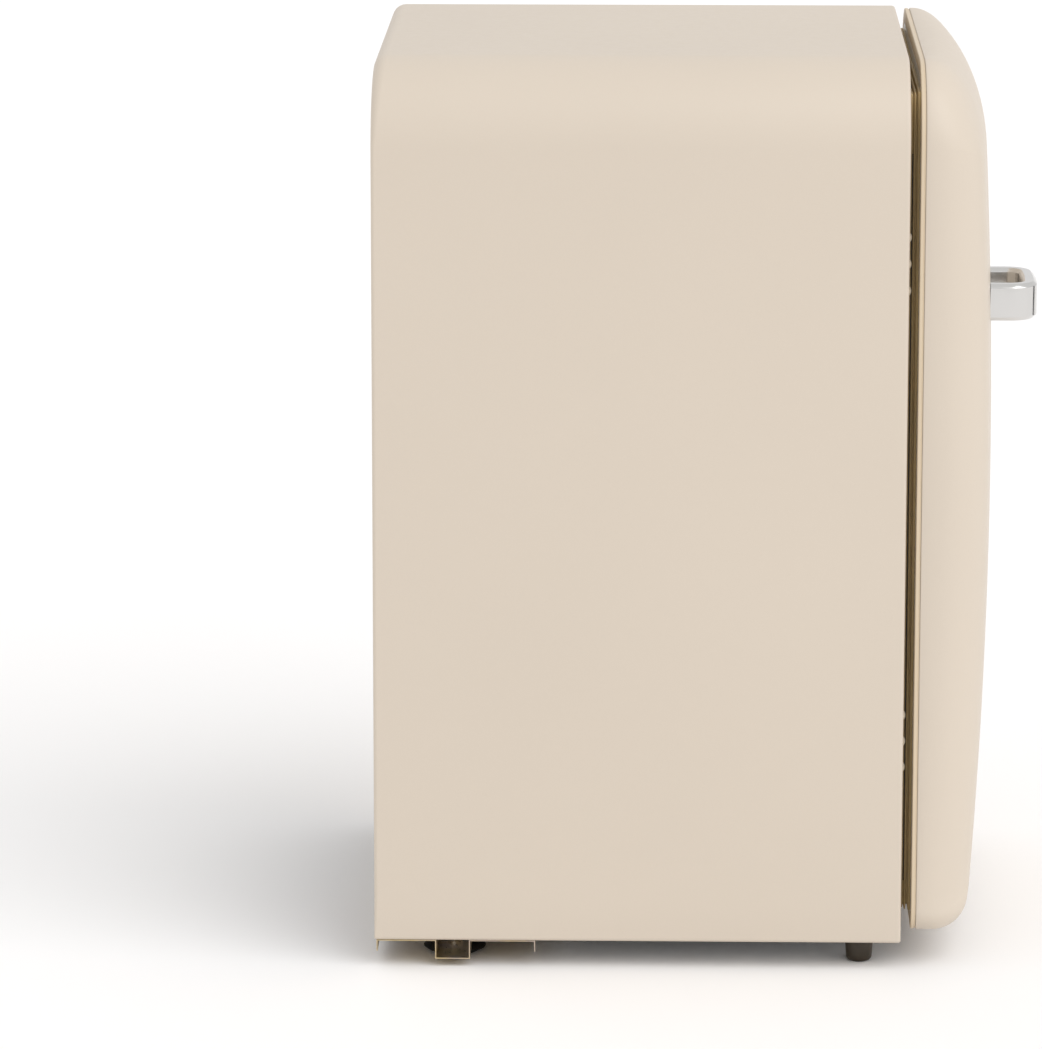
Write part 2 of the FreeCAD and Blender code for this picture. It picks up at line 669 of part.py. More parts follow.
def ring(name, front, rear, inset, width):
    """A frame along the gasket's line."""
    def loop(step):
        return arch("gasket_half_width - %s" % step, "gasket_low + %s" % step,
                    "gasket_high - %s" % step, "gasket_radius - %s" % step, "18 - %s" % step)
    return panel(name, front, rear, loop(inset), loop("(%s + %s)" % (inset, width)))


def make_gasket():
    """Foot, narrow bellows and a wide head that holds the magnets."""
    face = "cabinet_front - gasket_clearance"
    foot = ring("gasket_foot", "door_back", "door_back + 2.5", "0", "gasket_width")
    bellows = ring("gasket_bellows", "door_back + 2.5", "%s - 3.6" % face, "4", "(gasket_width - 8)")
    head = ring("gasket_head", "%s - 3.6" % face, face, "0.5", "(gasket_width - 1)")
    middle = "(gasket_half_width - gasket_width / 2)"
    depth = ("%s - 3" % face, "%s - 0.8" % face)
    bars = []
    for name, side in (("left", "-1"), ("right", "1")):
        centre = "%s * %s" % (side, middle)
        bars.append(box(name + "_magnet", ("%s - 3.5" % centre, "%s + 3.5" % centre), depth,
                        ("gasket_low + 30", "gasket_high - 60")))
    for name, height in (("lower", "gasket_low + gasket_width / 2"),
                         ("upper", "gasket_high - gasket_width / 2")):
        bars.append(box(name + "_magnet", ("-gasket_half_width + 60", "gasket_half_width - 60"), depth,
                        ("%s - 3.5" % height, "%s + 3.5" % height)))
    publish("gasket", cut("gasket_cut", join("gasket_solid", foot, bellows, head), *bars))
    publish("gasket_magnets", group("magnets", *bars))


def handle_plan(sketch, inset):
    """The handle's plan: two straight arms, round bends and a flat front, drawn in by the inset."""
    root = "door_crown + 12"
    near, far = "handle_near + %s" % inset, "handle_near + handle_span - %s" % inset
    outline(sketch, (near, "handle_front + %s" % inset, "handle_bend - %s" % inset),
            (far, "handle_front + %s" % inset, "handle_bend - %s" % inset),
            (far, root), (near, root))


def make_handle(screws):
    """A heavy bar bent to a D and closed against the door by two feet."""
    body = new_body("handle_band_body")
    sketch = new_sketch(body, "handle_plan", "plan", "handle_low")
    handle_plan(sketch, "0")
    pad(body, sketch, "handle_band", "handle_block")
    hollow = new_body("handle_hollow")
    inner = new_sketch(hollow, "handle_inner_plan", "plan", "handle_low - 5")
    handle_plan(inner, "handle_sheet")
    pad(hollow, inner, "handle_band + 10", "handle_hollow_block")
    feet = [box(name, x, ("door_crown - 3", "door_crown + 12"), ("handle_low", "handle_low + handle_band"))
            for name, x in (("near_foot", ("handle_near", "handle_near + 17")),
                            ("far_foot", ("handle_near + handle_span - 17", "handle_near + handle_span")))]
    band = join("handle_band", cut("handle_loop", body, hollow), *feet)
    face = door_form("handle_seat", "0", "door_back - trim_depth - fit_gap")
    publish("handle", cut("handle_cut", band, face, *screws))


def handle_screws():
    """Two screws from inside the door into the handle's feet."""
    height = "handle_low + handle_band / 2"
    return [screw(name, (across, height), "door_crown + 16", "2.5", "2.2", "door_crown - 1.5",
                  direction=-1)
            for name, across in (("near_handle_screw", "handle_near + 10.5"),
                                 ("far_handle_screw", "handle_near + handle_span - 10.5"))]


def make_rack(name, low, height):
    """A lift-out rack that hangs between the walls of the door's liner."""
    half = "dyke_half_width - dyke_wall - 1.5"
    publish(name, tray(name + "_tray", ("-(%s)" % half, half), ("door_back + 0.6", "rack_rear"),
                       (low, "%s + %s" % (low, height)), "2.4"))


# ---------------------------------------------------------------- inside fittings

def make_shelf(name, height):
    """A glass plate with a plastic trim that clips on its front edge."""
    front = "shelf_front"
    plate = box(name + "_plate", ("-shelf_half_width", "shelf_half_width"), (front, "248"),
                (height, "%s + glass" % height))
    above = "%s + glass" % height
    trim = section(name + "_trim_section", "-shelf_half_width", "shelf_half_width",
                   (front + " - 6", height + " - 3"), (front + " + 8", height + " - 3"),
                   (front + " + 8", height), (front, height), (front, above),
                   (front + " + 8", above), (front + " + 8", above + " + 3"),
                   (front + " - 6", above + " + 3"))
    publish(name + "_glass", plate)
    publish(name + "_trim", trim)


def make_crisper():
    cover = box("cover_plate", ("-shelf_half_width", "shelf_half_width"),
                ("shelf_front", "step_front - 1"), ("cover_height", "cover_height + glass"))
    publish("crisper_cover", cover)
    drawer = tray("drawer_tray", ("-212", "212"), ("shelf_front", "step_front - 6"),
                  ("cavity_low + 0.5", "246"), "2.5")
    grip = box("drawer_grip", ("-60", "60"), ("shelf_front - 4", "shelf_front"), ("232", "246"))
    publish("crisper_drawer", join("drawer_and_grip", drawer, grip))


FLAP_ALONG, FLAP_HEIGHT = "icebox_front - 4.5", "icebox_high - 5"


def make_icebox():
    """The evaporator box under the ceiling, its top-hung flap and the tray that catches meltwater."""
    half, wall = "icebox_half_width", "3"
    block = box("icebox_block", ("-" + half, half), ("icebox_front", "238"), ("icebox_low", "icebox_high"))
    hollow = box("icebox_hollow", ("-%s + %s" % (half, wall), "%s - %s" % (half, wall)),
                 ("icebox_front - 1", "238 - %s" % wall),
                 ("icebox_low + %s" % wall, "icebox_high - %s" % wall))
    hangers = [box("hanger_%d" % index, ("%d * 150 - 12" % side, "%d * 150 + 12" % side),
                   ("%s - 12" % along, "%s + 12" % along), ("icebox_high - 0.5", "cavity_high"))
               for index, (side, along) in enumerate([(-1, "0"), (1, "0"), (-1, "190"), (1, "190")])]
    publish("icebox", join("icebox_hung", cut("icebox_shell", block, hollow), *hangers))

    brackets, holes = [], []
    for name, side in (("left", -1), ("right", 1)):
        def across(*distances):
            spots = ["%d * (icebox_half_width - %s)" % (side, distance) for distance in distances]
            return tuple(spots if side > 0 else reversed(spots))
        block = box(name + "_bracket", across("7.5", "3"), ("icebox_front", "icebox_front + 12"),
                    (FLAP_HEIGHT + " - 7", FLAP_HEIGHT + " + 2"))
        ear = box(name + "_ear", across("7.5", "5.5"), ("icebox_front - 7", "icebox_front"),
                  (FLAP_HEIGHT + " - 5", FLAP_HEIGHT + " + 2"))
        place = (FLAP_ALONG, FLAP_HEIGHT)
        pin = cylinder(name + "_flap_pin", "x", place, "1.5", across("18", "7.5"))
        holes.append(cylinder(name + "_flap_hole", "x", place, "1.55", across("19", "7.4")))
        brackets.append(join(name + "_flap_bracket", block, ear, pin))
    publish("freezer_hinge_brackets", group("flap_brackets", *brackets))
    plate = box("flap_plate", ("-(icebox_half_width - 8.5)", "icebox_half_width - 8.5"),
                ("icebox_front - 7", "icebox_front - 2"), ("icebox_low + 4", FLAP_HEIGHT + " + 2"))
    pull = box("flap_pull", ("-45", "45"), ("icebox_front - 13", "icebox_front - 7"),
               ("icebox_low + 5", "icebox_low + 9"))
    publish("freezer_flap", cut("flap_cut", join("flap_and_pull", plate, pull), *holes))

    basin = box("basin", ("-204", "204"), ("icebox_front + 5", "230"), ("702", "722"))
    brim = box("basin_brim", ("-222", "222"), ("icebox_front + 5", "230"), ("720.3", "722"))
    scoop = box("basin_hollow", ("-202", "202"), ("icebox_front + 7", "228"), ("704", "730"))
    publish("drip_tray", cut("drip_tray_cut", join("basin_and_brim", basin, brim), scoop))


KNOB_PLACE = ("-20", "645")
LAMP_PLACE = ("52", "645")


def make_thermostat():
    """The control box on the right wall, with its dial, its lamp and the lamp's cover."""
    block = box("control_block", ("190", "cavity_half_width"), ("-60", "95"), ("605", "685"))
    hollow = box("control_hollow", ("192.5", "cavity_half_width + 1"), ("-57.5", "92.5"), ("607.5", "682.5"))
    shaft_hole = cylinder("shaft_hole", "x", KNOB_PLACE, "3.05", ("185", "200"))
    window = box("lamp_window", ("185", "200"), ("20", "84"), ("619", "671"))
    publish("thermostat_housing", cut("control_shell", block, hollow, shaft_hole, window))
    dial = cylinder("dial", "x", KNOB_PLACE, "19", ("174.5", "189.5"))
    shaft = cylinder("dial_shaft", "x", KNOB_PLACE, "3", ("189", "206"))
    grip = box("dial_grip", ("170", "175"), ("-23", "-17"), ("628", "662"))
    publish("thermostat_knob", join("knob", dial, shaft, grip))
    lens = box("lens_block", ("181", "190"), ("16", "88"), ("615", "675"))
    lens_hollow = box("lens_hollow", ("182.6", "191"), ("17.6", "86.4"), ("616.6", "673.4"))
    publish("lamp_lens", cut("lens_shell", lens, lens_hollow))
    bulb = doc.addObject("Part::Sphere", "bulb_globe")
    bulb.Placement = Placement(Vector(), TURNS["x"])
    bind(bulb, Radius="9", Placement__Base__x="200", Placement__Base__y=LAMP_PLACE[0],
         Placement__Base__z=LAMP_PLACE[1])
    neck = cylinder("bulb_neck", "x", LAMP_PLACE, "6", ("204", "214"))
    socket = cylinder("bulb_socket", "x", LAMP_PLACE, "9.6", ("212", "cavity_half_width"))
    publish("lamp_bulb", join("bulb", bulb, neck, socket))


SWITCH_PLACE = ("262", "800")


def make_light_switch():
    """A spring-loaded plunger in the flange, pushed in by the closed door."""
    case = box("switch_case", ("254", "270"), ("cabinet_front + sheet", "cabinet_front + 28"), ("790", "810"))
    bore = cylinder("switch_bore", "y", SWITCH_PLACE, "3.6", ("door_back", "cabinet_front + 26"))
    publish("light_switch_body", cut("switch_body", case, bore))
    stem = cylinder("plunger_stem", "y", SWITCH_PLACE, "3.5", ("door_back + 0.5", "cabinet_front + 18"))
    publish("light_switch_plunger", stem)
    return case, bore


# ---------------------------------------------------------------- feet and machinery

def make_base_plate():
    """One pressed sheet: flanges at both ends and a channel across, over the rear feet."""
    top, under = "cabinet_base", "cabinet_base - sheet"
    sheet_section = section(
        "base_sheet", "-(half_width - 2)", "half_width - 2",
        ("plate_front", "plate_flange_low"), ("plate_front", top), ("rail_front + sheet", top),
        ("rail_front + sheet", "rail_low + sheet"), ("rail_rear - sheet", "rail_low + sheet"),
        ("rail_rear - sheet", top), ("plate_rear", top), ("plate_rear", "plate_flange_low"),
        ("plate_rear - sheet", "plate_flange_low"), ("plate_rear - sheet", under),
        ("rail_rear", under), ("rail_rear", "rail_low"), ("rail_front", "rail_low"),
        ("rail_front", under), ("plate_front + sheet", under),
        ("plate_front + sheet", "plate_flange_low"))
    rivets, bolts, feet = [], [], []
    middle = "(rail_front + rail_rear) / 2"
    for name, side in (("left", "-1"), ("right", "1")):
        for end, along in (("front", "197"), ("rear", "309")):
            place = ("%s * 264" % side, along)
            head = cylinder("%s_%s_rivet_head" % (name, end), "z", place, "4.2",
                            ("cabinet_base - sheet - 1.6", under))
            shank = cylinder("%s_%s_rivet_shank" % (name, end), "z", place, "2",
                             (under, "cabinet_base + sheet"))
            rivets.append(join("%s_%s_rivet" % (name, end), head, shank))
        place = ("%s * rear_foot_across" % side, middle)
        foot = cylinder(name + "_rear_foot", "z", place, "rear_foot_radius", ("0", "rail_low"))
        head = cylinder(name + "_foot_bolt_head", "z", place, "8", ("rail_low + sheet", "rail_low + 7"))
        shank = cylinder(name + "_foot_bolt_shank", "z", place, "3", ("3", "rail_low + sheet"))
        bolt = join(name + "_foot_bolt", head, shank)
        feet.append(cut(name + "_rear_foot_cut", foot, bolt))
        bolts.append(bolt)
    publish("rear_feet", group("rear_foot_pair", *feet))
    publish("rear_foot_bolts", group("foot_bolts", *bolts))
    publish("base_plate_rivets", group("rivets", *rivets))
    return sheet_section, rivets, bolts


def make_front_feet():
    """Levelling feet; their studs run in inserts above the pan."""
    inserts, sockets, bores = [], [], []
    for name, side in (("left", "-1"), ("right", "1")):
        place = ("%s * front_foot_across" % side, "front_foot_along")
        base = doc.addObject("Part::Cone", name + "_foot_pad")
        bind(base, Radius1="front_foot_radius - 1.2", Radius2="front_foot_radius", Height="23",
             Placement__Base__x=place[0], Placement__Base__y=place[1])
        stud = cylinder(name + "_foot_stud", "z", place, "stud_radius", ("22", "52"))
        publish(name + "_front_foot", join(name + "_foot", base, stud))
        bore = cylinder(name + "_stud_bore", "z", place, "stud_radius + 0.08", ("20", "56"))
        case = cylinder(name + "_insert_case", "z", place, "9", (PAN_TOP, "60"))
        inserts.append(cut(name + "_insert", case, bore))
        sockets.append(case)
        bores.append(bore)
    publish("front_foot_inserts", group("foot_inserts", *inserts))
    return sockets, bores


def make_compressor():
    """The sealed compressor on its rubber-mounted plate, with its relay cover and tray."""
    across, along, radius = "compressor_across", "compressor_along", "compressor_radius"
    body = new_body("compressor_can")
    sketch = new_sketch(body, "compressor_outline", "across", along)
    outline(sketch, (across, "39"), ("%s + %s" % (across, radius), "39", "24"),
            ("%s + %s" % (across, radius), "176", "34"), (across, "176"))
    axis = sketch.addGeometry(
        Part.LineSegment(Vector(number(across), 39, 0), Vector(number(across), 176, 0)), True)
    constrain(sketch, "Vertical", axis)
    constrain(sketch, "DistanceX", -1, 1, axis, 1, across)
    turned = body.newObject("PartDesign::Revolution", "compressor_turned")
    turned.Profile = sketch
    turned.ReferenceAxis = (sketch, ["Axis0"])
    turned.Angle = 360
    body.Tip = turned
    weld = cylinder("compressor_weld", "z", (across, along), radius + " + 2.5", ("108", "112"))
    can = join("compressor_shell", body, weld)
    publish("compressor", can)

    corners = [("%s + %d * 72" % (across, side), "%s + %d * 45" % (along, end))
               for side in (-1, 1) for end in (-1, 1)]
    grommets, bolts = [], []
    for index, place in enumerate(corners):
        shank = cylinder("mount_shank_%d" % index, "z", place, "2.5", ("cabinet_base", "41.5"))
        head = cylinder("mount_head_%d" % index, "z", place, "6", ("41.5", "45.5"))
        bolts.append(join("mount_bolt_%d" % index, shank, head))
        rubber = cylinder("grommet_block_%d" % index, "z", place, "9.5", ("cabinet_base", "36"))
        collar = cylinder("grommet_collar_%d" % index, "z", place, "7", ("36", "41.5"))
        grommets.append(cut("grommet_%d" % index, join("grommet_solid_%d" % index, rubber, collar), shank))
    plate = box("mount_plate", ("%s - 84" % across, "%s + 84" % across),
                ("%s - 56" % along, "%s + 56" % along), ("36", "39"))
    publish("compressor_base", cut("mount_plate_cut", plate, *grommets, *bolts))
    publish("compressor_grommets", group("grommets", *grommets))
    publish("compressor_bolts", group("mount_bolts", *bolts))

    relay = box("relay_box", ("%s + %s - 6" % (across, radius), "%s + 92" % across),
                ("%s - 24" % along, "%s + 24" % along), ("72", "102"))
    publish("relay_cover", cut("relay_cut", relay, can))
    gland_place = ("%s + 80" % across, "87")
    gland = cylinder("gland_outer", "y", gland_place, "7", ("%s + 24" % along, "%s + 40" % along))
    gland_hole = cylinder("gland_hole", "y", gland_place, "3.6", ("%s + 23" % along, "%s + 42" % along))
    publish("cord_inlet", cut("gland", gland, gland_hole))
    publish("evaporation_tray", tray("catch_tray", ("%s - 62" % across, "%s + 62" % across),
                                     ("%s - 52" % along, "%s + 52" % along), ("176", "206"), "2"))
    return can


def make_pipes(can):
    """The refrigerant tubes and the drier in the niche, and the channels they take to the roof."""
    across, along = number("compressor_across"), number("compressor_along")
    roof = number("niche_top")
    discharge = routed_tube("discharge_run", [(across - 50, along + 18, 90), (-60, along + 18, 90),
                                              (-60, 300, 90), (-60, 300, roof)], 2.4, 11)
    suction = routed_tube("suction_run", [(across - 50, along - 18, 122), (-34, along - 18, 122),
                                          (-34, 196, 122), (-34, 196, roof)], 4, 14)
    capillary = routed_tube("capillary_run", [(-112, 292, 88), (-112, 292, 58), (-146, 292, 58),
                                              (-146, 292, roof)], 1.2, 12)
    publish("discharge_tube", cut("discharge_cut", discharge, can))
    publish("suction_tube", cut("suction_cut", suction, can))
    publish("capillary_tube", capillary)
    can_body = cylinder("drier_can", "z", ("-112", "292"), "9.5", ("98", "190"))
    lower = doc.addObject("Part::Cone", "drier_lower")
    bind(lower, Radius1="2.5", Radius2="9.5", Height="10", Placement__Base__x="-112",
         Placement__Base__y="292", Placement__Base__z="88")
    upper = doc.addObject("Part::Cone", "drier_upper")
    bind(upper, Radius1="9.5", Radius2="2.5", Height="10", Placement__Base__x="-112",
         Placement__Base__y="292", Placement__Base__z="190")
    stub = cylinder("drier_stub", "z", ("-112", "292"), "2.4", ("200", "niche_top"))
    publish("filter_drier", join("drier", can_body, lower, upper, stub))


def drain():
    """The drain tube from the back of the cavity to the tray, and the bore that it needs."""
    place = ("compressor_across + 20", "cavity_rear - 20")
    outer = cylinder("drain_outer", "z", place, "8", ("196", "step_top - liner_wall"))
    inner = cylinder("drain_inner", "z", place, "6", ("190", "step_top + 5"))
    publish("drain_tube", cut("drain", outer, inner))
    return outer, inner


# ---------------------------------------------------------------- assembly

drain_outer, drain_inner = drain()
plug_stems = make_hole_plugs()
flange_screws, door_screws = make_hinges()
switch_case, switch_bore = make_light_switch()
insert_sockets, stud_bores = make_front_feet()
base_sheet, plate_rivets, foot_bolts = make_base_plate()
coil_channels = make_condenser_coil()
make_cabinet_shell([*plug_stems, *flange_screws, switch_bore, *plate_rivets])
rear_screws = make_cabinet_panels(drain_outer)
make_bottom_pan(stud_bores)
make_inner_liner(drain_inner)
make_cabinet_foam([*plug_stems, *flange_screws, *rear_screws, switch_case, drain_outer,
                   *insert_sockets, *coil_channels])
shell_of_compressor = make_compressor()
make_pipes(shell_of_compressor)
publish("base_plate", cut("base_plate_cut", base_sheet, *plate_rivets, *foot_bolts))
make_icebox()
make_thermostat()
make_shelf("upper_shelf", "upper_shelf")
make_shelf("lower_shelf", "lower_shelf")
make_crisper()
grip_screws = handle_screws()
make_door(door_screws, grip_screws)
make_handle(grip_screws)
publish("handle_screws", group("handle_screw_pair", *grip_screws))
make_gasket()
make_rack("upper_rack", "560", "52")
make_rack("lower_rack", "345", "60")
make_rack("bottle_rail", "104", "80")

doc.recompute()
faults = [item.Name for item in doc.Objects if "Invalid" in item.State or "Error" in item.State]
faults += [name for name, piece in nodes.items() if piece.Shape.isNull() or not piece.Shape.isValid()]
if faults:
    raise SystemExit("failed: " + ", ".join(faults))

os.makedirs("parts", exist_ok=True)
for name, piece in sorted(nodes.items()):
    piece.Shape.exportStep("parts/%s.step" % name)
print("%d nodes" % len(nodes))
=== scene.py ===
"""Looks of the mini fridge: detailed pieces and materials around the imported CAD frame."""
import json
import math

import bmesh
import bpy
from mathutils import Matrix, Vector


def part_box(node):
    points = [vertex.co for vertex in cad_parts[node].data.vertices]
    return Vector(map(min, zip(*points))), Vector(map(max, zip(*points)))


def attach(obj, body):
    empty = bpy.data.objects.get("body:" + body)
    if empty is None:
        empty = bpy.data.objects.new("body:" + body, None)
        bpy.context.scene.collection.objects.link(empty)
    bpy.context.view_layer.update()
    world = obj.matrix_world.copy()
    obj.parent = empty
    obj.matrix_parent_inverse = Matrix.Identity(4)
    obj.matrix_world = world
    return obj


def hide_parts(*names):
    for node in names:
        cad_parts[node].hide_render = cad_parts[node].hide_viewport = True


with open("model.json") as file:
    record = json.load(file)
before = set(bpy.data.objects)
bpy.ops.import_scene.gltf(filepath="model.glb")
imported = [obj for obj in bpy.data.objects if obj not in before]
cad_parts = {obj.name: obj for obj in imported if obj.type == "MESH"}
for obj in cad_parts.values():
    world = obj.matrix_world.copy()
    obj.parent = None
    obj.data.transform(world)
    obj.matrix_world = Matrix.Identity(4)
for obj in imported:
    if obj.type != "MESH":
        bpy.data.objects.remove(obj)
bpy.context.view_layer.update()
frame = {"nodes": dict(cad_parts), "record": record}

MM = 0.001


# ---------------------------------------------------------------- places taken from the frame

def corner(node, which, axis):
    """One coordinate of a node's box: which is 0 for its lowest corner and 1 for its highest."""
    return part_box(node)[which]["xyz".index(axis)]


HALF = corner("cabinet_shell", 1, "x")
FRONT, REAR = corner("cabinet_shell", 0, "y"), corner("cabinet_shell", 1, "y")
BASE, TOP = corner("cabinet_shell", 0, "z"), corner("cabinet_shell", 1, "z")
DOOR_HALF = corner("door_skin", 1, "x")
DOOR_LOW, DOOR_HIGH = corner("door_skin", 0, "z"), corner("door_skin", 1, "z")
DOOR_CROWN, SKIN_REAR = corner("door_skin", 0, "y"), corner("door_skin", 1, "y")
DOOR_BACK = corner("door_trim", 1, "y")
SHEET = 1.2 * MM
SHELL_RADIUS = 82 * MM


# ---------------------------------------------------------------- mesh helpers

SHARP = math.radians(50)


def new_piece(name, vertices, faces, smooth=True):
    mesh = bpy.data.meshes.new(name)
    mesh.from_pydata([tuple(v) for v in vertices], [], faces)
    work = bmesh.new()
    work.from_mesh(mesh)
    bmesh.ops.remove_doubles(work, verts=work.verts, dist=1e-6)
    bmesh.ops.recalc_face_normals(work, faces=work.faces)
    for face in work.faces:
        face.smooth = smooth
    for edge in work.edges:
        edge.smooth = edge.calc_face_angle(0) < SHARP
    work.to_mesh(mesh)
    work.free()
    piece = bpy.data.objects.new(name, mesh)
    bpy.context.scene.collection.objects.link(piece)
    return piece


def arc_points(centre, radius, first, last, steps):
    """Points and outward normals along an arc, angles in degrees."""
    found = []
    for step in range(steps + 1):
        angle = math.radians(first + (last - first) * step / steps)
        normal = (math.cos(angle), math.sin(angle))
        found.append(((centre[0] + radius * normal[0], centre[1] + radius * normal[1]), normal))
    return found


def stretch(start, end, normal, steps):
    """Points between two ends of a straight side, ends left out."""
    return [((start[0] + (end[0] - start[0]) * k / steps, start[1] + (end[1] - start[1]) * k / steps),
             normal) for k in range(1, steps)]


def arch_outline(half, low, high, radius, low_radius, along=24, bend=14):
    """Closed outline of an upright panel, with its outward normals, from the lower left corner up."""
    r, s = radius, low_radius
    up = stretch((-half, low + s), (-half, high - r), (-1, 0), along)
    over = stretch((-half + r, high), (half - r, high), (0, 1), along)
    down = stretch((half, high - r), (half, low + s), (1, 0), along)
    back = stretch((half - s, low), (-half + s, low), (0, -1), along)
    return (arc_points((-half + s, low + s), s, 270, 180, bend // 2) + up
            + arc_points((-half + r, high - r), r, 180, 90, bend) + over
            + arc_points((half - r, high - r), r, 90, 0, bend) + down
            + arc_points((half - s, low + s), s, 0, -90, bend // 2) + back)


def wrap_outline(half, low, high, radius, along=20, bend=20):
    """Open outline of the cabinet's wrapped sheet: up one side, over the top, down the other."""
    sides = [((-half, low), (-1, 0))] + stretch((-half, low), (-half, high - radius), (-1, 0), along)
    over = stretch((-half + radius, high), (half - radius, high), (0, 1), along)
    down = stretch((half, high - radius), (half, low), (1, 0), along) + [((half, low), (1, 0))]
    return (sides + arc_points((-half + radius, high - radius), radius, 180, 90, bend) + over
            + arc_points((half - radius, high - radius), radius, 90, 0, bend) + down)


def sweep(name, outline, profile, closed, shut_profile=True):
    """Carry a profile of (inset, along Y) points round an outline seen from the front."""
    vertices, faces = [], []
    for (x, z), (nx, nz) in outline:
        vertices += [(x - nx * inset, y, z - nz * inset) for inset, y in profile]
    count, size = len(outline), len(profile)
    for i in range(count if closed else count - 1):
        after = (i + 1) % count
        for j in range(size if shut_profile else size - 1):
            k = (j + 1) % size
            faces.append((i * size + j, after * size + j, after * size + k, i * size + k))
    if not closed and shut_profile:
        faces.append(tuple(range(size)))
        faces.append(tuple((count - 1) * size + j for j in range(size)))
    return new_piece(name, vertices, faces)


def rounded(points, radii, steps=5):
    """A closed profile of (a, b) points with each corner rounded by its own radius."""
    found = []
    for index, (point, radius) in enumerate(zip(points, radii)):
        corner_at = Vector(point)
        to_before = (Vector(points[index - 1]) - corner_at).normalized()
        to_after = (Vector(points[(index + 1) % len(points)]) - corner_at).normalized()
        if radius <= 0:
            found.append(tuple(corner_at))
            continue
        half_angle = to_before.angle(to_after) / 2
        reach = radius / math.tan(half_angle)
        centre = corner_at + (to_before + to_after).normalized() * (radius / math.sin(half_angle))
        start, end = corner_at + to_before * reach - centre, corner_at + to_after * reach - centre
        for step in range(steps + 1):
            ray = start.lerp(end, step / steps)
            found.append(tuple(centre + ray.normalized() * radius))
    return found


def turned(name, profile, centre, axis="z", segments=48):
    """A solid of revolution from (radius, level) points about an axis through the centre."""
    vertices, faces = [], []
    size = len(profile)
    for s in range(segments):
        angle = 2 * math.pi * s / segments
        c, d = math.cos(angle), math.sin(angle)
        for radius, level in profile:
            place = {"z": (radius * c, radius * d, level), "y": (radius * c, level, radius * d),
                     "x": (level, radius * c, radius * d)}[axis]
            vertices.append(tuple(p + q for p, q in zip(place, centre)))
    for s in range(segments):
        after = (s + 1) % segments
        for j in range(size - 1):
            faces.append((s * size + j, after * size + j, after * size + j + 1, s * size + j + 1))
    return new_piece(name, vertices, faces)


def prism(name, outline, place, low, high, edge, steps=2):
    """An outline carried between two levels with rounded rims; place(a, b, level) sets its axes."""
    count = len(outline)
    middle = Vector((sum(p[0] for p in outline) / count, sum(p[1] for p in outline) / count))
    levels = []
    for step in range(steps + 1):
        angle = math.pi / 2 * step / steps
        levels.append((edge * (1 - math.sin(angle)), edge * (1 - math.cos(angle))))
    rings = [(low + rise, inset) for inset, rise in levels]
    rings += [(high - rise, inset) for inset, rise in reversed(levels)]
    vertices, faces = [], []
    for level, inset in rings:
        for index, point in enumerate(outline):
            before, after = Vector(outline[index - 1]), Vector(outline[(index + 1) % count])
            along = (after - before).normalized()
            inward = Vector((-along.y, along.x))
            if inward.dot(middle - Vector(point)) < 0:
                inward = -inward
            shifted = Vector(point) + inward * inset
            vertices.append(place(shifted.x, shifted.y, level))
    for r in range(len(rings) - 1):
        for i in range(count):
            k = (i + 1) % count
            faces.append((r * count + i, r * count + k, (r + 1) * count + k, (r + 1) * count + i))
    faces.append(tuple(range(count)))
    faces.append(tuple((len(rings) - 1) * count + i for i in range(count)))
    return new_piece(name, vertices, faces)


def joined(name, pieces):
    """One object from several that share a material and a body."""
    first = pieces[0]
    with bpy.context.temp_override(active_object=first, selected_editable_objects=pieces,
                                   object=first, selected_objects=pieces):
        bpy.ops.object.join()
    first.name = name
    first.data.name = name
    return first


def soften(piece, width, segments=2, angle=35):
    """Rounded edges and clean shading as modifiers, for a piece whose mesh stays as it is."""
    weld = piece.modifiers.new("weld", "WELD")
    weld.merge_threshold = 0.00001
    bevel = piece.modifiers.new("soft_edges", "BEVEL")
    bevel.width = width
    bevel.segments = segments
    bevel.limit_method = "ANGLE"
    bevel.angle_limit = math.radians(angle)
    bevel.harden_normals = True
    return piece


def stand_in(piece, body, slot, *nodes):
    """A piece that rides a body and stands for CAD nodes, which it hides."""
    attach(piece, body)
    if nodes:
        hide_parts(*nodes)
    return piece


# ---------------------------------------------------------------- materials

def tree_of(name):
    material = bpy.data.materials.new(name)
    material.use_nodes = True
    tree = material.node_tree
    return material, tree, tree.nodes["Principled BSDF"]


def coordinates(tree):
    return tree.nodes.new("ShaderNodeTexCoord").outputs["Object"]


def noise(tree, scale, detail=4.0, rough=0.55, vector=None, stretch_by=None):
    """Solid noise in the piece's own space, stretched along an axis if asked."""
    texture = tree.nodes.new("ShaderNodeTexNoise")
    texture.inputs["Scale"].default_value = scale
    texture.inputs["Detail"].default_value = detail
    texture.inputs["Roughness"].default_value = rough
    source = vector or coordinates(tree)
    if stretch_by:
        mapping = tree.nodes.new("ShaderNodeMapping")
        mapping.inputs["Scale"].default_value = stretch_by
        tree.links.new(source, mapping.inputs["Vector"])
        source = mapping.outputs["Vector"]
    tree.links.new(source, texture.inputs["Vector"])
    return texture.outputs["Fac"]


def ramp(tree, factor, *stops):
    """A colour ramp with (position, colour) stops."""
    node = tree.nodes.new("ShaderNodeValToRGB")
    elements = node.color_ramp.elements
    while len(elements) < len(stops):
        elements.new(0.5)
    for element, (position, colour) in zip(elements, stops):
        element.position = position
        element.color = (*colour, 1) if len(colour) == 3 else colour
    tree.links.new(factor, node.inputs["Fac"])
    return node.outputs["Color"]


def levels(tree, factor, low, high, out_low, out_high):
    node = tree.nodes.new("ShaderNodeMapRange")
    for key, value in zip(("From Min", "From Max", "To Min", "To Max"), (low, high, out_low, out_high)):
        node.inputs[key].default_value = value
    tree.links.new(factor, node.inputs["Value"])
    return node.outputs["Result"]


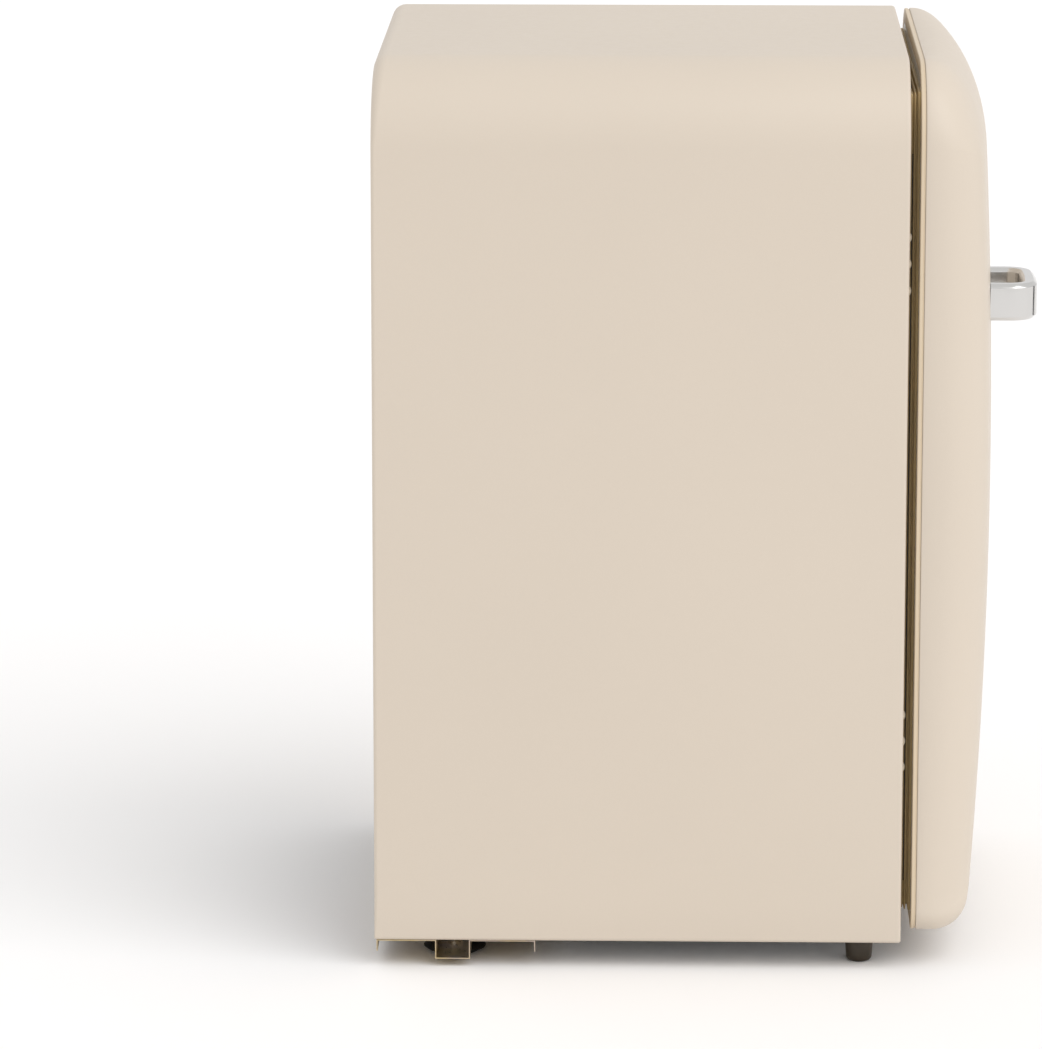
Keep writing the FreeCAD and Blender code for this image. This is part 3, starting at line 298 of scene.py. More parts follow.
def bump(tree, shader, height, strength, distance, before=None):
    node = tree.nodes.new("ShaderNodeBump")
    node.inputs["Strength"].default_value = strength
    node.inputs["Distance"].default_value = distance
    tree.links.new(height, node.inputs["Height"])
    if before is not None:
        tree.links.new(before, node.inputs["Normal"])
    tree.links.new(node.outputs["Normal"], shader.inputs["Normal"])
    return node.outputs["Normal"]


def shade(colour, factor):
    return tuple(min(1.0, c * factor) for c in colour)


def surface(name, colour, roughness, metallic=0.0, variation=0.04, patch=6.0, grain=900.0,
            grain_depth=0.00004, rough_spread=0.05, coat=0.0, specular=0.5,
            transmission=0.0, ior=1.5, stretch_by=None, speckle=0.0):
    """A base material: slow colour drift, fine grain in colour and bump, uneven gloss."""
    material, tree, shader = tree_of(name)
    slow = noise(tree, patch, 3.0, 0.5)
    tone = ramp(tree, slow, (0.3, shade(colour, 1 - variation)), (0.7, shade(colour, 1 + variation)))
    fine = noise(tree, grain, 2.0, 0.6, stretch_by=stretch_by)
    if speckle:
        mix = tree.nodes.new("ShaderNodeMix")
        mix.data_type = "RGBA"
        mix.blend_type = "MULTIPLY"
        mix.inputs["Factor"].default_value = 1.0
        tree.links.new(tone, mix.inputs["A"])
        tree.links.new(ramp(tree, fine, (0.35, (1 - speckle,) * 3), (0.65, (1.0, 1.0, 1.0))), mix.inputs["B"])
        tone = mix.outputs["Result"]
    tree.links.new(tone, shader.inputs["Base Color"])
    middle = noise(tree, grain * 0.12, 3.0, 0.6, stretch_by=stretch_by)
    tree.links.new(levels(tree, middle, 0.3, 0.7, max(0.02, roughness - rough_spread),
                          roughness + rough_spread), shader.inputs["Roughness"])
    shader.inputs["Metallic"].default_value = metallic
    shader.inputs["Specular IOR Level"].default_value = specular
    shader.inputs["Coat Weight"].default_value = coat
    shader.inputs["Coat Roughness"].default_value = 0.12
    shader.inputs["Transmission Weight"].default_value = transmission
    shader.inputs["IOR"].default_value = ior
    bump(tree, shader, fine, 0.25, grain_depth)
    return material


def banded(material_name, colour, roughness, **extra):
    """A brushed metal: grain drawn out along the piece's upright axis."""
    return surface(material_name, colour, roughness, metallic=1.0, grain=260.0,
                   stretch_by=(1.0, 1.0, 0.04), **extra)


def cream_enamel():
    """Baked enamel on sheet steel: very slight orange peel and faint uneven tone."""
    material = surface("cream_enamel", (0.640, 0.560, 0.468), 0.44, variation=0.010, patch=3.2, grain=900.0,
                       grain_depth=0.000010, rough_spread=0.03, speckle=0.014, specular=0.35)
    tree = material.node_tree
    shader = tree.nodes["Principled BSDF"]
    peel = noise(tree, 210.0, 2.0, 0.5)
    first = shader.inputs["Normal"].links[0].from_socket
    bump(tree, shader, peel, 0.10, 0.00006, before=first)
    return material


def yellow_zinc():
    """Zinc plate with the straw and rainbow tint of its passivation."""
    material, tree, shader = tree_of("yellow_zinc")
    tint = ramp(tree, noise(tree, 14.0, 5.0, 0.6), (0.25, (0.44, 0.33, 0.16)), (0.45, (0.62, 0.50, 0.28)),
                (0.6, (0.50, 0.42, 0.36)), (0.8, (0.66, 0.60, 0.46)))
    tree.links.new(tint, shader.inputs["Base Color"])
    spangle = noise(tree, 160.0, 2.0, 0.6)
    tree.links.new(levels(tree, spangle, 0.3, 0.7, 0.26, 0.44), shader.inputs["Roughness"])
    shader.inputs["Metallic"].default_value = 1.0
    bump(tree, shader, noise(tree, 520.0, 3.0, 0.6), 0.12, 0.00002)
    return material


def galvanised_steel():
    """Hot-dip coating with faceted spangles of different greys."""
    material, tree, shader = tree_of("galvanised_steel")
    cells = tree.nodes.new("ShaderNodeTexVoronoi")
    cells.inputs["Scale"].default_value = 120.0
    tree.links.new(coordinates(tree), cells.inputs["Vector"])
    bare = tree.nodes.new("ShaderNodeRGBToBW")
    tree.links.new(cells.outputs["Color"], bare.inputs["Color"])
    grey = ramp(tree, bare.outputs["Val"], (0.1, (0.49, 0.50, 0.51)), (0.9, (0.60, 0.61, 0.62)))
    tree.links.new(grey, shader.inputs["Base Color"])
    tree.links.new(levels(tree, bare.outputs["Val"], 0.0, 1.0, 0.38, 0.46), shader.inputs["Roughness"])
    shader.inputs["Metallic"].default_value = 1.0
    bump(tree, shader, noise(tree, 380.0, 3.0, 0.6), 0.2, 0.00003)
    return material


def clear_polystyrene():
    return surface("clear_polystyrene", (0.90, 0.93, 0.94), 0.12, variation=0.01, transmission=0.85,
                   ior=1.55, rough_spread=0.03, grain=500.0, grain_depth=0.00001)


def shelf_glass():
    return surface("toughened_glass", (0.80, 0.93, 0.89), 0.03, variation=0.01, transmission=0.9,
                   ior=1.5, rough_spread=0.015, grain=300.0, grain_depth=0.000002)


MATERIALS = {
    "cream_paint": cream_enamel(),
    "white_panel": surface("white_powder_coat", (0.79, 0.78, 0.75), 0.42, grain=1100.0,
                           grain_depth=0.00003, speckle=0.04, variation=0.015),
    "galvanised": galvanised_steel(),
    "yellow_zinc": yellow_zinc(),
    "zinc_fastener": surface("bright_zinc", (0.66, 0.67, 0.69), 0.28, metallic=1.0, grain=700.0),
    "black_enamel": surface("black_enamel", (0.012, 0.012, 0.013), 0.33, coat=0.3, grain=900.0,
                            variation=0.15),
    "white_liner": surface("white_polystyrene", (0.80, 0.81, 0.80), 0.30, variation=0.008, grain=2600.0,
                           grain_depth=0.00001, rough_spread=0.015),
    "foam": surface("rigid_foam", (0.78, 0.66, 0.36), 0.9, variation=0.08, grain=640.0, grain_depth=0.0004,
                    speckle=0.2, specular=0.2),
    "coil_steel": surface("painted_tube", (0.03, 0.03, 0.032), 0.4, grain=800.0, variation=0.1),
    "evaporator_aluminium": banded("rolled_aluminium", (0.80, 0.81, 0.82), 0.3, variation=0.03),
    "clear_plastic": clear_polystyrene(),
    "shelf_glass": shelf_glass(),
    "shelf_trim": surface("white_trim", (0.80, 0.81, 0.80), 0.3, variation=0.01, grain=1600.0,
                          grain_depth=0.00001, rough_spread=0.02),
    "cream_trim": surface("cream_trim", (0.640, 0.525, 0.375), 0.42, variation=0.015, grain=700.0,
                          grain_depth=0.00003, speckle=0.015),
    "cream_plug": surface("cream_plug", (0.80, 0.71, 0.57), 0.36, variation=0.02, grain=700.0,
                          grain_depth=0.00002),
    # gasket colour: tan, darker and warmer than the off-white vinyl, so partly the shade of the gap painted
    # in
    "gasket_rubber": surface("gasket_vinyl_painted_shade", (0.50, 0.375, 0.190), 0.50, variation=0.08, grain=900.0,
                             grain_depth=0.00004, specular=0.3),
    "magnet": surface("ferrite_strip", (0.04, 0.038, 0.036), 0.7, variation=0.15),
    "chrome": surface("satin_chrome", (0.665, 0.655, 0.64), 0.15, metallic=1.0, variation=0.015,
                      grain=700.0, grain_depth=0.000004, rough_spread=0.03),
    "hinge_steel": surface("hinge_plate", (0.60, 0.61, 0.62), 0.3, metallic=1.0, grain=600.0),
    "black_rubber": surface("black_rubber", (0.022, 0.021, 0.020), 0.7, variation=0.15, grain=900.0,
                            grain_depth=0.00008, specular=0.3),
    "dark_foot": surface("dark_foot_plastic", (0.034, 0.022, 0.009), 0.38, variation=0.15, grain=800.0,
                         grain_depth=0.00004),
    "black_plastic": surface("black_plastic", (0.02, 0.02, 0.021), 0.45, variation=0.1, grain=1000.0,
                             grain_depth=0.00006),
    "copper": banded("drawn_copper", (0.86, 0.42, 0.25), 0.24, variation=0.10, patch=30.0),
    "warm_lens": surface("lamp_lens", (0.93, 0.90, 0.82), 0.3, variation=0.02, transmission=0.55,
                         grain=300.0, grain_depth=0.00006),
    "bulb_glass": surface("bulb_glass", (0.95, 0.94, 0.90), 0.08, variation=0.01, transmission=0.7,
                          grain=200.0, grain_depth=0.000004),
    "grey_plastic": surface("grey_plastic", (0.30, 0.31, 0.33), 0.4, variation=0.04, grain=1000.0,
                            grain_depth=0.00005),
    "brass_insert": surface("turned_brass", (0.72, 0.52, 0.24), 0.3, metallic=1.0, variation=0.06),
}


def paint(piece, slot, material=None):
    piece.data.materials.clear()
    piece.data.materials.append(material or MATERIALS[slot])
    return piece


def finished(piece, body, slot, *nodes, material=None):
    """Finish, body and CAD nodes of a new piece in one go."""
    paint(piece, slot, material)
    return stand_in(piece, body, slot, *nodes)


NODE_SLOTS = {part["node"]: part["material_slot"] for part in frame["record"]["subparts"]}


def paint_frame():
    """Every CAD node that stays takes its slot's finish and softly rounded edges."""
    fine = {"shelf_glass": 0.6, "hinge_steel": 0.25, "chrome": 0.8, "copper": 0.0, "coil_steel": 0.0}
    for node, piece in frame["nodes"].items():
        slot = NODE_SLOTS[node]
        piece.data.materials.clear()
        piece.data.materials.append(MATERIALS[slot])
        width = fine.get(slot, 0.4)
        if width:
            soften(piece, width * MM)


# ---------------------------------------------------------------- cabinet

SIDE_RIM, TOP_RIM = 4 * MM, 14 * MM
FOLD, HEM = 22 * MM, 9 * MM
NOSE, EDGE_BEND = 3.4 * MM, 3.6 * MM


def loft(name, rings):
    """Skin between closed rings of equal length."""
    count = len(rings[0])
    vertices = [point for ring in rings for point in ring]
    faces = []
    for r in range(len(rings) - 1):
        for i in range(count):
            k = (i + 1) % count
            faces.append((r * count + i, r * count + k, (r + 1) * count + k, (r + 1) * count + i))
    return new_piece(name, vertices, faces)


def folded_wrap(half, low, high, radius, fold, bend):
    """Open outline of the wrapped sheet with a fold inward under each side."""
    tuck = [((-half + fold, low), (0, -1)), ((-half + fold / 2, low), (0, -1))]
    turn = arc_points((-half + bend, low + bend), bend, 270, 180, 6)
    rise = wrap_outline(half, low + bend, high, radius)[1:-1]
    other = arc_points((half - bend, low + bend), bend, 0, -90, 6)
    last = [((half - fold / 2, low), (0, -1)), ((half - fold, low), (0, -1))]
    return tuck + turn + rise + other + last


def quarter(radius, start, end, centre, steps=6):
    """Points on a quarter bend of a sheet section, as (inset, along Y)."""
    angles = [math.radians(start + (end - start) * k / steps) for k in range(steps + 1)]
    return [(centre[0] - radius * math.cos(a), centre[1] - radius * math.sin(a)) for a in angles]


def wrap_section(rim, lap):
    """Section through the sheet: rolled front edge, flat side, rolled rear edge with a short hem."""
    nose_at = (NOSE, FRONT + NOSE)
    rim_at = (rim, REAR - rim)
    outer = quarter(rim, -90, 0, rim_at) + quarter(NOSE, 0, 90, nose_at)
    inner = quarter(NOSE - SHEET, 90, 0, nose_at) + quarter(rim - SHEET, 0, -90, rim_at)
    hem = rim + lap
    return [(hem, REAR - SHEET), (hem, REAR)] + outer + inner


def cabinet_wrap():
    """Painted sheet from one side over the top to the other, rolled in at the front and the rear."""
    outline = folded_wrap(HALF, BASE, TOP, SHELL_RADIUS, FOLD, EDGE_BEND)
    vertices, faces = [], []
    for (x, z), (nx, nz) in outline:
        straight = z > BASE + EDGE_BEND + 1 * MM
        rim = SIDE_RIM + (TOP_RIM - SIDE_RIM) * max(nz, 0) if straight else 1.6 * MM
        lap = HEM if straight else 0.2 * MM
        vertices += [(x - nx * inset, y, z - nz * inset) for inset, y in wrap_section(rim, lap)]
    size = len(wrap_section(SIDE_RIM, HEM))
    for i in range(len(outline) - 1):
        for j in range(size):
            k = (j + 1) % size
            faces.append((i * size + j, (i + 1) * size + j, (i + 1) * size + k, i * size + k))
    faces.append(tuple(range(size)))
    faces.append(tuple((len(outline) - 1) * size + j for j in range(size)))
    return new_piece("cabinet_wrap", vertices, faces)


def front_flange():
    """The face that the gasket closes on, its opening turned in round the liner."""
    lip = 6 * MM
    outer = (HALF - NOSE, BASE + 0.3 * MM, TOP - NOSE, SHELL_RADIUS - NOSE, 1 * MM)
    hole = (230 * MM, 69 * MM, 848 * MM, 36 * MM, 10 * MM)

    def ring(outline, y, grow=0.0):
        half, low, high, radius, low_radius = outline
        points = arch_outline(half + grow, low - grow, high + grow, radius + grow, low_radius + grow, 20, 20)
        return [(x, y, z) for (x, z), _ in points]

    return loft("front_flange", [
        ring(outer, FRONT + SHEET), ring(outer, FRONT), ring(hole, FRONT, 1.6 * MM),
        ring(hole, FRONT + 0.5 * MM, 0.5 * MM), ring(hole, FRONT + 1.6 * MM), ring(hole, FRONT + lip),
        ring(hole, FRONT + lip, SHEET), ring(hole, FRONT + 2.4 * MM, SHEET),
        ring(hole, FRONT + SHEET, 2.4 * MM), ring(outer, FRONT + SHEET)])


def cabinet_outside():
    finished(joined("cabinet_wrap", [cabinet_wrap(), front_flange()]), "cabinet", "cream_paint",
             "cabinet_shell")


def back_panel():
    """Coated steel panel inside the rolled rim, with a raised field inside a pressed border."""
    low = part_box("rear_panel")[0].z
    plate = (HALF - SIDE_RIM - 1.5 * MM, low, TOP - TOP_RIM - 1.5 * MM, SHELL_RADIUS - TOP_RIM, 6 * MM)
    seat = REAR - SHEET - 0.1 * MM
    raised = 0.9 * MM
    border = 26 * MM

    def ring(inset, y):
        half, bottom, high, radius, low_radius = plate
        points = arch_outline(half - inset, bottom + inset, high - inset,
                              max(radius - inset, 2 * MM), max(low_radius - inset, 2 * MM), 12, 12)
        return [(x, y, z) for (x, z), _ in points]

    back, front = ring(0, seat - SHEET), ring(0, seat - 0.3 * MM)
    rings = [back, front, ring(0.4 * MM, seat), ring(border, seat), ring(border + 1.5 * MM, seat + 0.3 * MM),
             ring(border + 3.5 * MM, seat + raised)]
    count = len(back)
    vertices = [point for one in rings for point in one]
    faces = [tuple(range(count)), tuple((len(rings) - 1) * count + i for i in range(count))]
    for r in range(len(rings) - 1):
        faces += [(r * count + i, r * count + (i + 1) % count, (r + 1) * count + (i + 1) % count,
                   (r + 1) * count + i) for i in range(count)]
    finished(new_piece("back_panel", vertices, faces), "cabinet", "white_panel", "rear_panel")


def cross_head(radius, rise, axis_place, segments=8):
    """A pan head with a cross recess, as rings of (radius, rise) with four pressed lobes."""
    vertices, faces = [], []
    rings = [(radius, 0.0), (radius, rise * 0.35), (radius * 0.86, rise * 0.8), (radius * 0.62, rise),
             (radius * 0.46, rise), (radius * 0.30, rise), (radius * 0.12, rise)]
    around = segments * 4
    for index, (reach, level) in enumerate(rings):
        for s in range(around):
            angle = 2 * math.pi * s / around
            arm = math.cos(2 * angle) ** 2 > 0.6
            sink = rise * 0.55 if index >= 5 and (arm or index == 6) else 0.0
            vertices.append(axis_place(reach * math.cos(angle), reach * math.sin(angle), level - sink))
    for r in range(len(rings) - 1):
        faces += [(r * around + s, r * around + (s + 1) % around, (r + 1) * around + (s + 1) % around,
                   (r + 1) * around + s) for s in range(around)]
    faces.append(tuple(range(around)))
    faces.append(tuple((len(rings) - 1) * around + s for s in range(around)))
    return new_piece("head", vertices, faces)


def back_panel_screws():
    """Cross-head screws along both sides of the rear panel."""
    low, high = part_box("rear_panel_screws")
    radius = 4 * MM
    seat = REAR - SHEET - 0.1 * MM
    spread = (high.z - radius) - (low.z + radius)
    heads = []
    for across in (low.x + radius, high.x - radius):
        for share in (0, 0.34, 0.68, 1.0):
            level = low.z + radius + spread * share
            heads.append(cross_head(radius, 1.15 * MM,
                                    lambda a, b, c, x=across, z=level: (x + a, seat + c, z + b)))
    finished(joined("back_panel_heads", heads), "cabinet", "zinc_fastener", "rear_panel_screws")


# ---------------------------------------------------------------- door

CROWN_ACROSS, CROWN_UP = 2.6, 6.0
CROWN_MIDDLE = 478 * MM
SIDE_EDGE = (44 * MM, 44 * MM)
TOP_EDGE = (95 * MM, 51 * MM)
BOTTOM_EDGE = (29 * MM, 30 * MM)
DOOR_RADIUS, DOOR_LOW_RADIUS = 78 * MM, 24 * MM


def crown(x, z):
    """How far forward the pillowed door face lies."""
    return DOOR_CROWN + x * x / (2 * CROWN_ACROSS) + (z - CROWN_MIDDLE) ** 2 / (2 * CROWN_UP)


def door_ring(inset, y=None, sink=0.0):
    """One ring of the door's outline drawn in by an inset, on its rounded face or at one depth."""
    half = max(DOOR_HALF - inset, 0)
    turns = [min(max(radius - 0.6 * inset, 9 * MM), half) for radius in (DOOR_RADIUS, DOOR_LOW_RADIUS)]
    points = arch_outline(half, DOOR_LOW + inset, DOOR_HIGH - inset, turns[0], turns[1], 36, 24)
    ring = []
    for (x, z), (_, nz) in points:
        other = TOP_EDGE if nz > 0 else BOTTOM_EDGE
        reach, depth = (side + (end - side) * abs(nz) for side, end in zip(SIDE_EDGE, other))
        left = min(max(1 - (inset - sink) / reach, 0.0), 1.0)
        fall = depth * (1 - math.sqrt(1 - left * left))
        ring.append((x, min(crown(x, z) + fall + sink, SKIN_REAR - 1.2 * MM) if y is None else y, z))
    return ring


def pillow_rings(sink):
    """Rings from the flat side round the edge and over the crown to the middle."""
    steps = 26
    rings = [door_ring(sink + TOP_EDGE[0] * (step / steps) ** 2, sink=sink) for step in range(steps + 1)]
    for inset in (112, 135, 165, 195, 225, 250):
        rings.append(door_ring(inset * MM, sink=sink))
    rings.append(door_ring(DOOR_HALF, sink=sink))
    return rings


def door_front():
    """Drawn steel skin, hemmed at the back."""
    hem = 12 * MM
    back = [door_ring(SHEET, SKIN_REAR - 1.2 * MM), door_ring(SHEET + hem, SKIN_REAR - 1.1 * MM),
            door_ring(SHEET + hem, SKIN_REAR), door_ring(1.0 * MM, SKIN_REAR),
            door_ring(0.3 * MM, SKIN_REAR - 0.3 * MM), door_ring(0.0, SKIN_REAR - 1.0 * MM)]
    rings = list(reversed(pillow_rings(SHEET))) + back + pillow_rings(0.0)
    finished(loft("door_front", rings), "door", "cream_paint", "door_skin")


def door_insulation():
    """Foam that fills the skin behind its sheet."""
    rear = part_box("door_trim")[0].y + 0.4 * MM
    rings = [door_ring(DOOR_HALF, rear), door_ring(16 * MM, rear),
             door_ring(16 * MM, SKIN_REAR - 3 * MM), door_ring(3 * MM, SKIN_REAR - 3 * MM)]
    finished(loft("door_insulation", rings + pillow_rings(SHEET + 0.8 * MM)), "door", "foam", "door_foam")


def door_surround():
    """Plastic frame between the skin and the liner, with a shadow groove along the skin."""
    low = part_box("door_trim")[0].y
    rear = DOOR_BACK
    outline = arch_outline(DOOR_HALF - 0.2 * MM, DOOR_LOW + 0.2 * MM, DOOR_HIGH - 0.2 * MM,
                           DOOR_RADIUS, DOOR_LOW_RADIUS, 36, 24)
    profile = rounded([(0.9 * MM, low), (0.9 * MM, low + 1.2 * MM), (0, low + 1.5 * MM),
                       (0, rear), (15 * MM, rear), (15 * MM, low)],
                      [0, 0.15 * MM, 0.3 * MM, 1.0 * MM, 0.4 * MM, 0.4 * MM])
    finished(sweep("door_surround", outline, profile, closed=True), "door", "cream_trim", "door_trim")


def door_seal():
    """Magnetic gasket with mitred corners: a clipped foot, a pleated bellows and a flat head."""
    low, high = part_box("gasket")
    foot, head = low.y, high.y
    wide = 13 * MM
    steps = [(0.3, 0.0), (0.0, 1.2), (0.5, 2.6), (5.0, 3.3), (5.0, 4.2), (1.0, 4.9), (0.8, 6.0),
             (4.5, 6.9), (4.6, 7.4), (2.4, 7.8)]
    outer = [(inset * MM, foot + rise * MM) for inset, rise in steps] + [(2.2 * MM, head)]
    inner = [(wide - inset, y) for inset, y in reversed(outer)]
    rings = []
    for inset, y in rounded(outer + inner, [0.22 * MM] * (2 * len(outer)), 3):
        outline = arch_outline(high.x - inset, low.z + inset, high.z - inset, MITRE, MITRE, 30, 4)
        rings.append([(x, y, z) for (x, z), _ in outline])
    finished(loft("door_seal", rings + rings[:1]), "door", "gasket_rubber", "gasket")


MITRE = 0.8 * MM
BAR_DEPTH = 15 * MM
BAR_BEND = 27 * MM
BAR_EDGE = 3.6 * MM


def handle_path(low, high):
    """Centre line of the handle's bar in plan, from the door out, across and back."""
    half = BAR_DEPTH / 2
    near, far, front = low.x + half, high.x - half, low.y + half
    bend = BAR_BEND - half
    middle_z = (low.z + high.z) / 2
    sunk = 0.4 * MM
    swell = 0.8 * MM
    start, end = crown(near, middle_z) + sunk, crown(far, middle_z) + sunk
    turn = [math.radians(7.5 * k) for k in range(13)]
    path = [(near, start), (near, start - 1 * MM), (near, (start + front + bend) / 2)]
    path += [(near + bend - bend * math.cos(a), front + swell + bend - bend * math.sin(a)) for a in turn]
    span = far - near - 2 * bend
    path += [(near + bend + span * k / 10, front + swell * (1 - math.sin(math.pi * k / 10)))
             for k in range(1, 10)]
    path += [(far - bend + bend * math.sin(a), front + swell + bend - bend * math.cos(a)) for a in turn]
    return path + [(far, (end + front + bend) / 2), (far, end - 1 * MM), (far, end)]


def ribbon(name, path, section):
    """A closed section of (offset, height) carried along a plan path, capped at both ends."""
    vertices, faces = [], []
    size = len(section)
    for index, (x, y) in enumerate(path):
        before = Vector(path[max(index - 1, 0)])
        after = Vector(path[min(index + 1, len(path) - 1)])
        along = (after - before).normalized()
        vertices += [(x - along.y * offset, y + along.x * offset, z) for offset, z in section]
    for i in range(len(path) - 1):
        for j in range(size):
            k = (j + 1) % size
            faces.append((i * size + j, i * size + k, (i + 1) * size + k, (i + 1) * size + j))
    faces.append(tuple(range(size)))
    faces.append(tuple((len(path) - 1) * size + j for j in range(size)))
    return new_piece(name, vertices, faces)


def door_handle():
    """Heavy chromed bar bent to a D, flat outside with a soft chamfer round its rims."""
    low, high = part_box("handle")
    half = BAR_DEPTH / 2
    edge = BAR_EDGE
    corners = [(-half + edge, low.z), (half - edge, low.z), (half, low.z + edge), (half, high.z - edge),
               (half - edge, high.z), (-half + edge, high.z), (-half, high.z - edge), (-half, low.z + edge)]
    section = rounded(corners, [1.2 * MM] * 8, 3)
    finished(ribbon("door_handle", handle_path(low, high), section), "door", "chrome", "handle")


# ---------------------------------------------------------------- small outside pieces

def hinge_hole_plugs():
    """Domed caps with a thin rim over the spare hinge screw holes."""
    low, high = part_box("hole_plugs")
    across = (low.x + high.x) / 2
    radius = (high.x - low.x) / 2
    pitch = 26 * MM
    upper, lower = high.z - radius - pitch, low.z + radius + pitch
    dome = [(0, low.y), (1.6 * MM, low.y + 0.15 * MM), (3.0 * MM, low.y + 0.6 * MM),
            (3.9 * MM, low.y + 1.3 * MM), (4.2 * MM, low.y + 1.9 * MM), (4.9 * MM, low.y + 2.05 * MM),
            (radius, low.y + 2.3 * MM), (radius, FRONT), (2.3 * MM, FRONT), (2.3 * MM, high.y), (0, high.y)]
    caps = [turned("cap", dome, (across, 0, middle + step), axis="y", segments=32)
            for middle in (upper, lower) for step in (-pitch, 0, pitch)]
    finished(joined("hinge_hole_caps", caps), "cabinet", "cream_plug", "hole_plugs")


def front_feet():
    """Tapered levelling feet on threaded zinc studs."""
    top = 23 * MM
    for side in ("left", "right"):
        low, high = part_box(side + "_front_foot")
        centre = ((low.x + high.x) / 2, (low.y + high.y) / 2, 0)
        radius = (high.x - low.x) / 2
        toe = radius - 1.2 * MM
        heel = 5 * MM
        base = [(toe - heel + heel * math.sin(a), heel - heel * math.cos(a))
                for a in (math.radians(15 * k) for k in range(7))]
        pad = [(0, 0.5 * MM), (toe - heel - 1 * MM, 0.5 * MM)] + base
        pad += [(radius, top - 2.4 * MM), (radius, top - 0.8 * MM), (radius - 0.8 * MM, top), (0, top)]
        finished(turned(side + "_foot_pad", pad, centre, segments=64), side + "_foot", "dark_foot",
                 side + "_front_foot")
        stud = [(0, top - 1 * MM), (4.0 * MM, top - 1 * MM)]
        level = top
        while level < high.z - 2 * MM:
            stud += [(3.4 * MM, level), (4.0 * MM, level + 0.6 * MM)]
            level += 1.25 * MM
        stud += [(3.4 * MM, high.z), (0, high.z)]
        finished(turned(side + "_foot_stud", stud, centre, segments=32), side + "_foot", "zinc_fastener")


def rear_feet():
    """Flat rubber discs under the channel, sharp at the rim and ribbed beneath."""
    low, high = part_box("rear_feet")
    radius = (high.y - low.y) / 2
    discs = []
    for across in (low.x + radius, high.x - radius):
        profile = [(0, high.z - 3 * MM), (9 * MM, high.z - 3 * MM), (9 * MM, 0.2 * MM), (11 * MM, 0)]
        for rib in range(3):
            reach = (13 + 3.5 * rib) * MM
            profile += [(reach, 0), (reach + 0.5 * MM, 0.7 * MM), (reach + 1.5 * MM, 0.7 * MM),
                        (reach + 2 * MM, 0)]
        profile += [(radius - 7 * MM, 0), (radius - 0.8 * MM, 3.6 * MM), (radius, 4.4 * MM),
                    (radius - 0.6 * MM, 5.0 * MM), (radius - 10 * MM, high.z), (0, high.z)]
        discs.append(turned("disc", profile, (across, (low.y + high.y) / 2, 0), segments=72))
    finished(joined("rear_foot_discs", discs), "cabinet", "black_rubber", "rear_feet")


def rivet_heads():
    """Domed rivet heads under the base plate."""
    low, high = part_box("base_plate_rivets")
    radius = 4.2 * MM
    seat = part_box("base_plate")[1].z - SHEET
    dome = [(0, low.z), (radius * 0.4, low.z + 0.1 * MM), (radius * 0.75, low.z + 0.5 * MM),
            (radius * 0.95, low.z + 1.1 * MM), (radius, seat), (2 * MM, seat), (2 * MM, high.z), (0, high.z)]
    heads = [turned("head", dome, (x, y, 0), segments=28)
             for x in (low.x + radius, high.x - radius) for y in (low.y + radius, high.y - radius)]
    finished(joined("base_rivet_heads", heads), "cabinet", "zinc_fastener", "base_plate_rivets")


def filter_drier():
    """Copper filter drier: a drawn tube with rolled beads, necked down at both ends."""
    low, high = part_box("filter_drier")
    radius, neck = (high.x - low.x) / 2, 2.4 * MM
    centre = ((low.x + high.x) / 2, (low.y + high.y) / 2, 0)
    body_low, body_high = low.z + 10 * MM, low.z + 102 * MM
    profile = [(0, low.z), (neck, low.z), (neck, low.z + 1.5 * MM), (0.95 * radius, body_low)]
    for bead in (body_low + 6 * MM, body_high - 6 * MM):
        profile += [(radius, bead - 3 * MM), (radius, bead - 1.4 * MM), (0.92 * radius, bead - 0.5 * MM),
                    (0.92 * radius, bead + 0.5 * MM), (radius, bead + 1.4 * MM), (radius, bead + 3 * MM)]
    profile += [(0.95 * radius, body_high), (neck, body_high + 9 * MM), (neck, high.z), (0, high.z)]
    finished(turned("drier_tube", profile, centre, segments=40), "cabinet", "copper", "filter_drier")


# ---------------------------------------------------------------- inside

def thermostat_dial():
    """Fluted knob with a grip bar; it turns in front of the numbered housing face."""
    low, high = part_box("thermostat_knob")
    radius = (high.y - low.y) / 2
    centre = ((low.y + high.y) / 2, (low.z + high.z) / 2)
    flutes = 28
    outline = []
    for step in range(flutes * 6):
        angle = 2 * math.pi * step / (flutes * 6)
        reach = radius - 0.5 * MM + 0.5 * MM * math.cos(flutes * angle)
        outline.append((reach * math.cos(angle), reach * math.sin(angle)))

    def place(a, b, level):
        return level, centre[0] + a, centre[1] + b

    skirt = prism("skirt", outline, place, low.x + 5.5 * MM, high.x, 1.0 * MM)
    length, width = radius * 0.86, 3.2 * MM
    bar = [(width * math.cos(a), length - width + width * math.sin(a))
           for a in (math.radians(15 * k) for k in range(13))]
    bar += [(-width * math.cos(a), -length + width - width * math.sin(a))
            for a in (math.radians(15 * k) for k in range(13))]
    grip = prism("grip", bar, place, low.x, low.x + 6.2 * MM, 0.9 * MM)
    finished(joined("thermostat_dial", [skirt, grip]), "knob", "grey_plastic", "thermostat_knob")


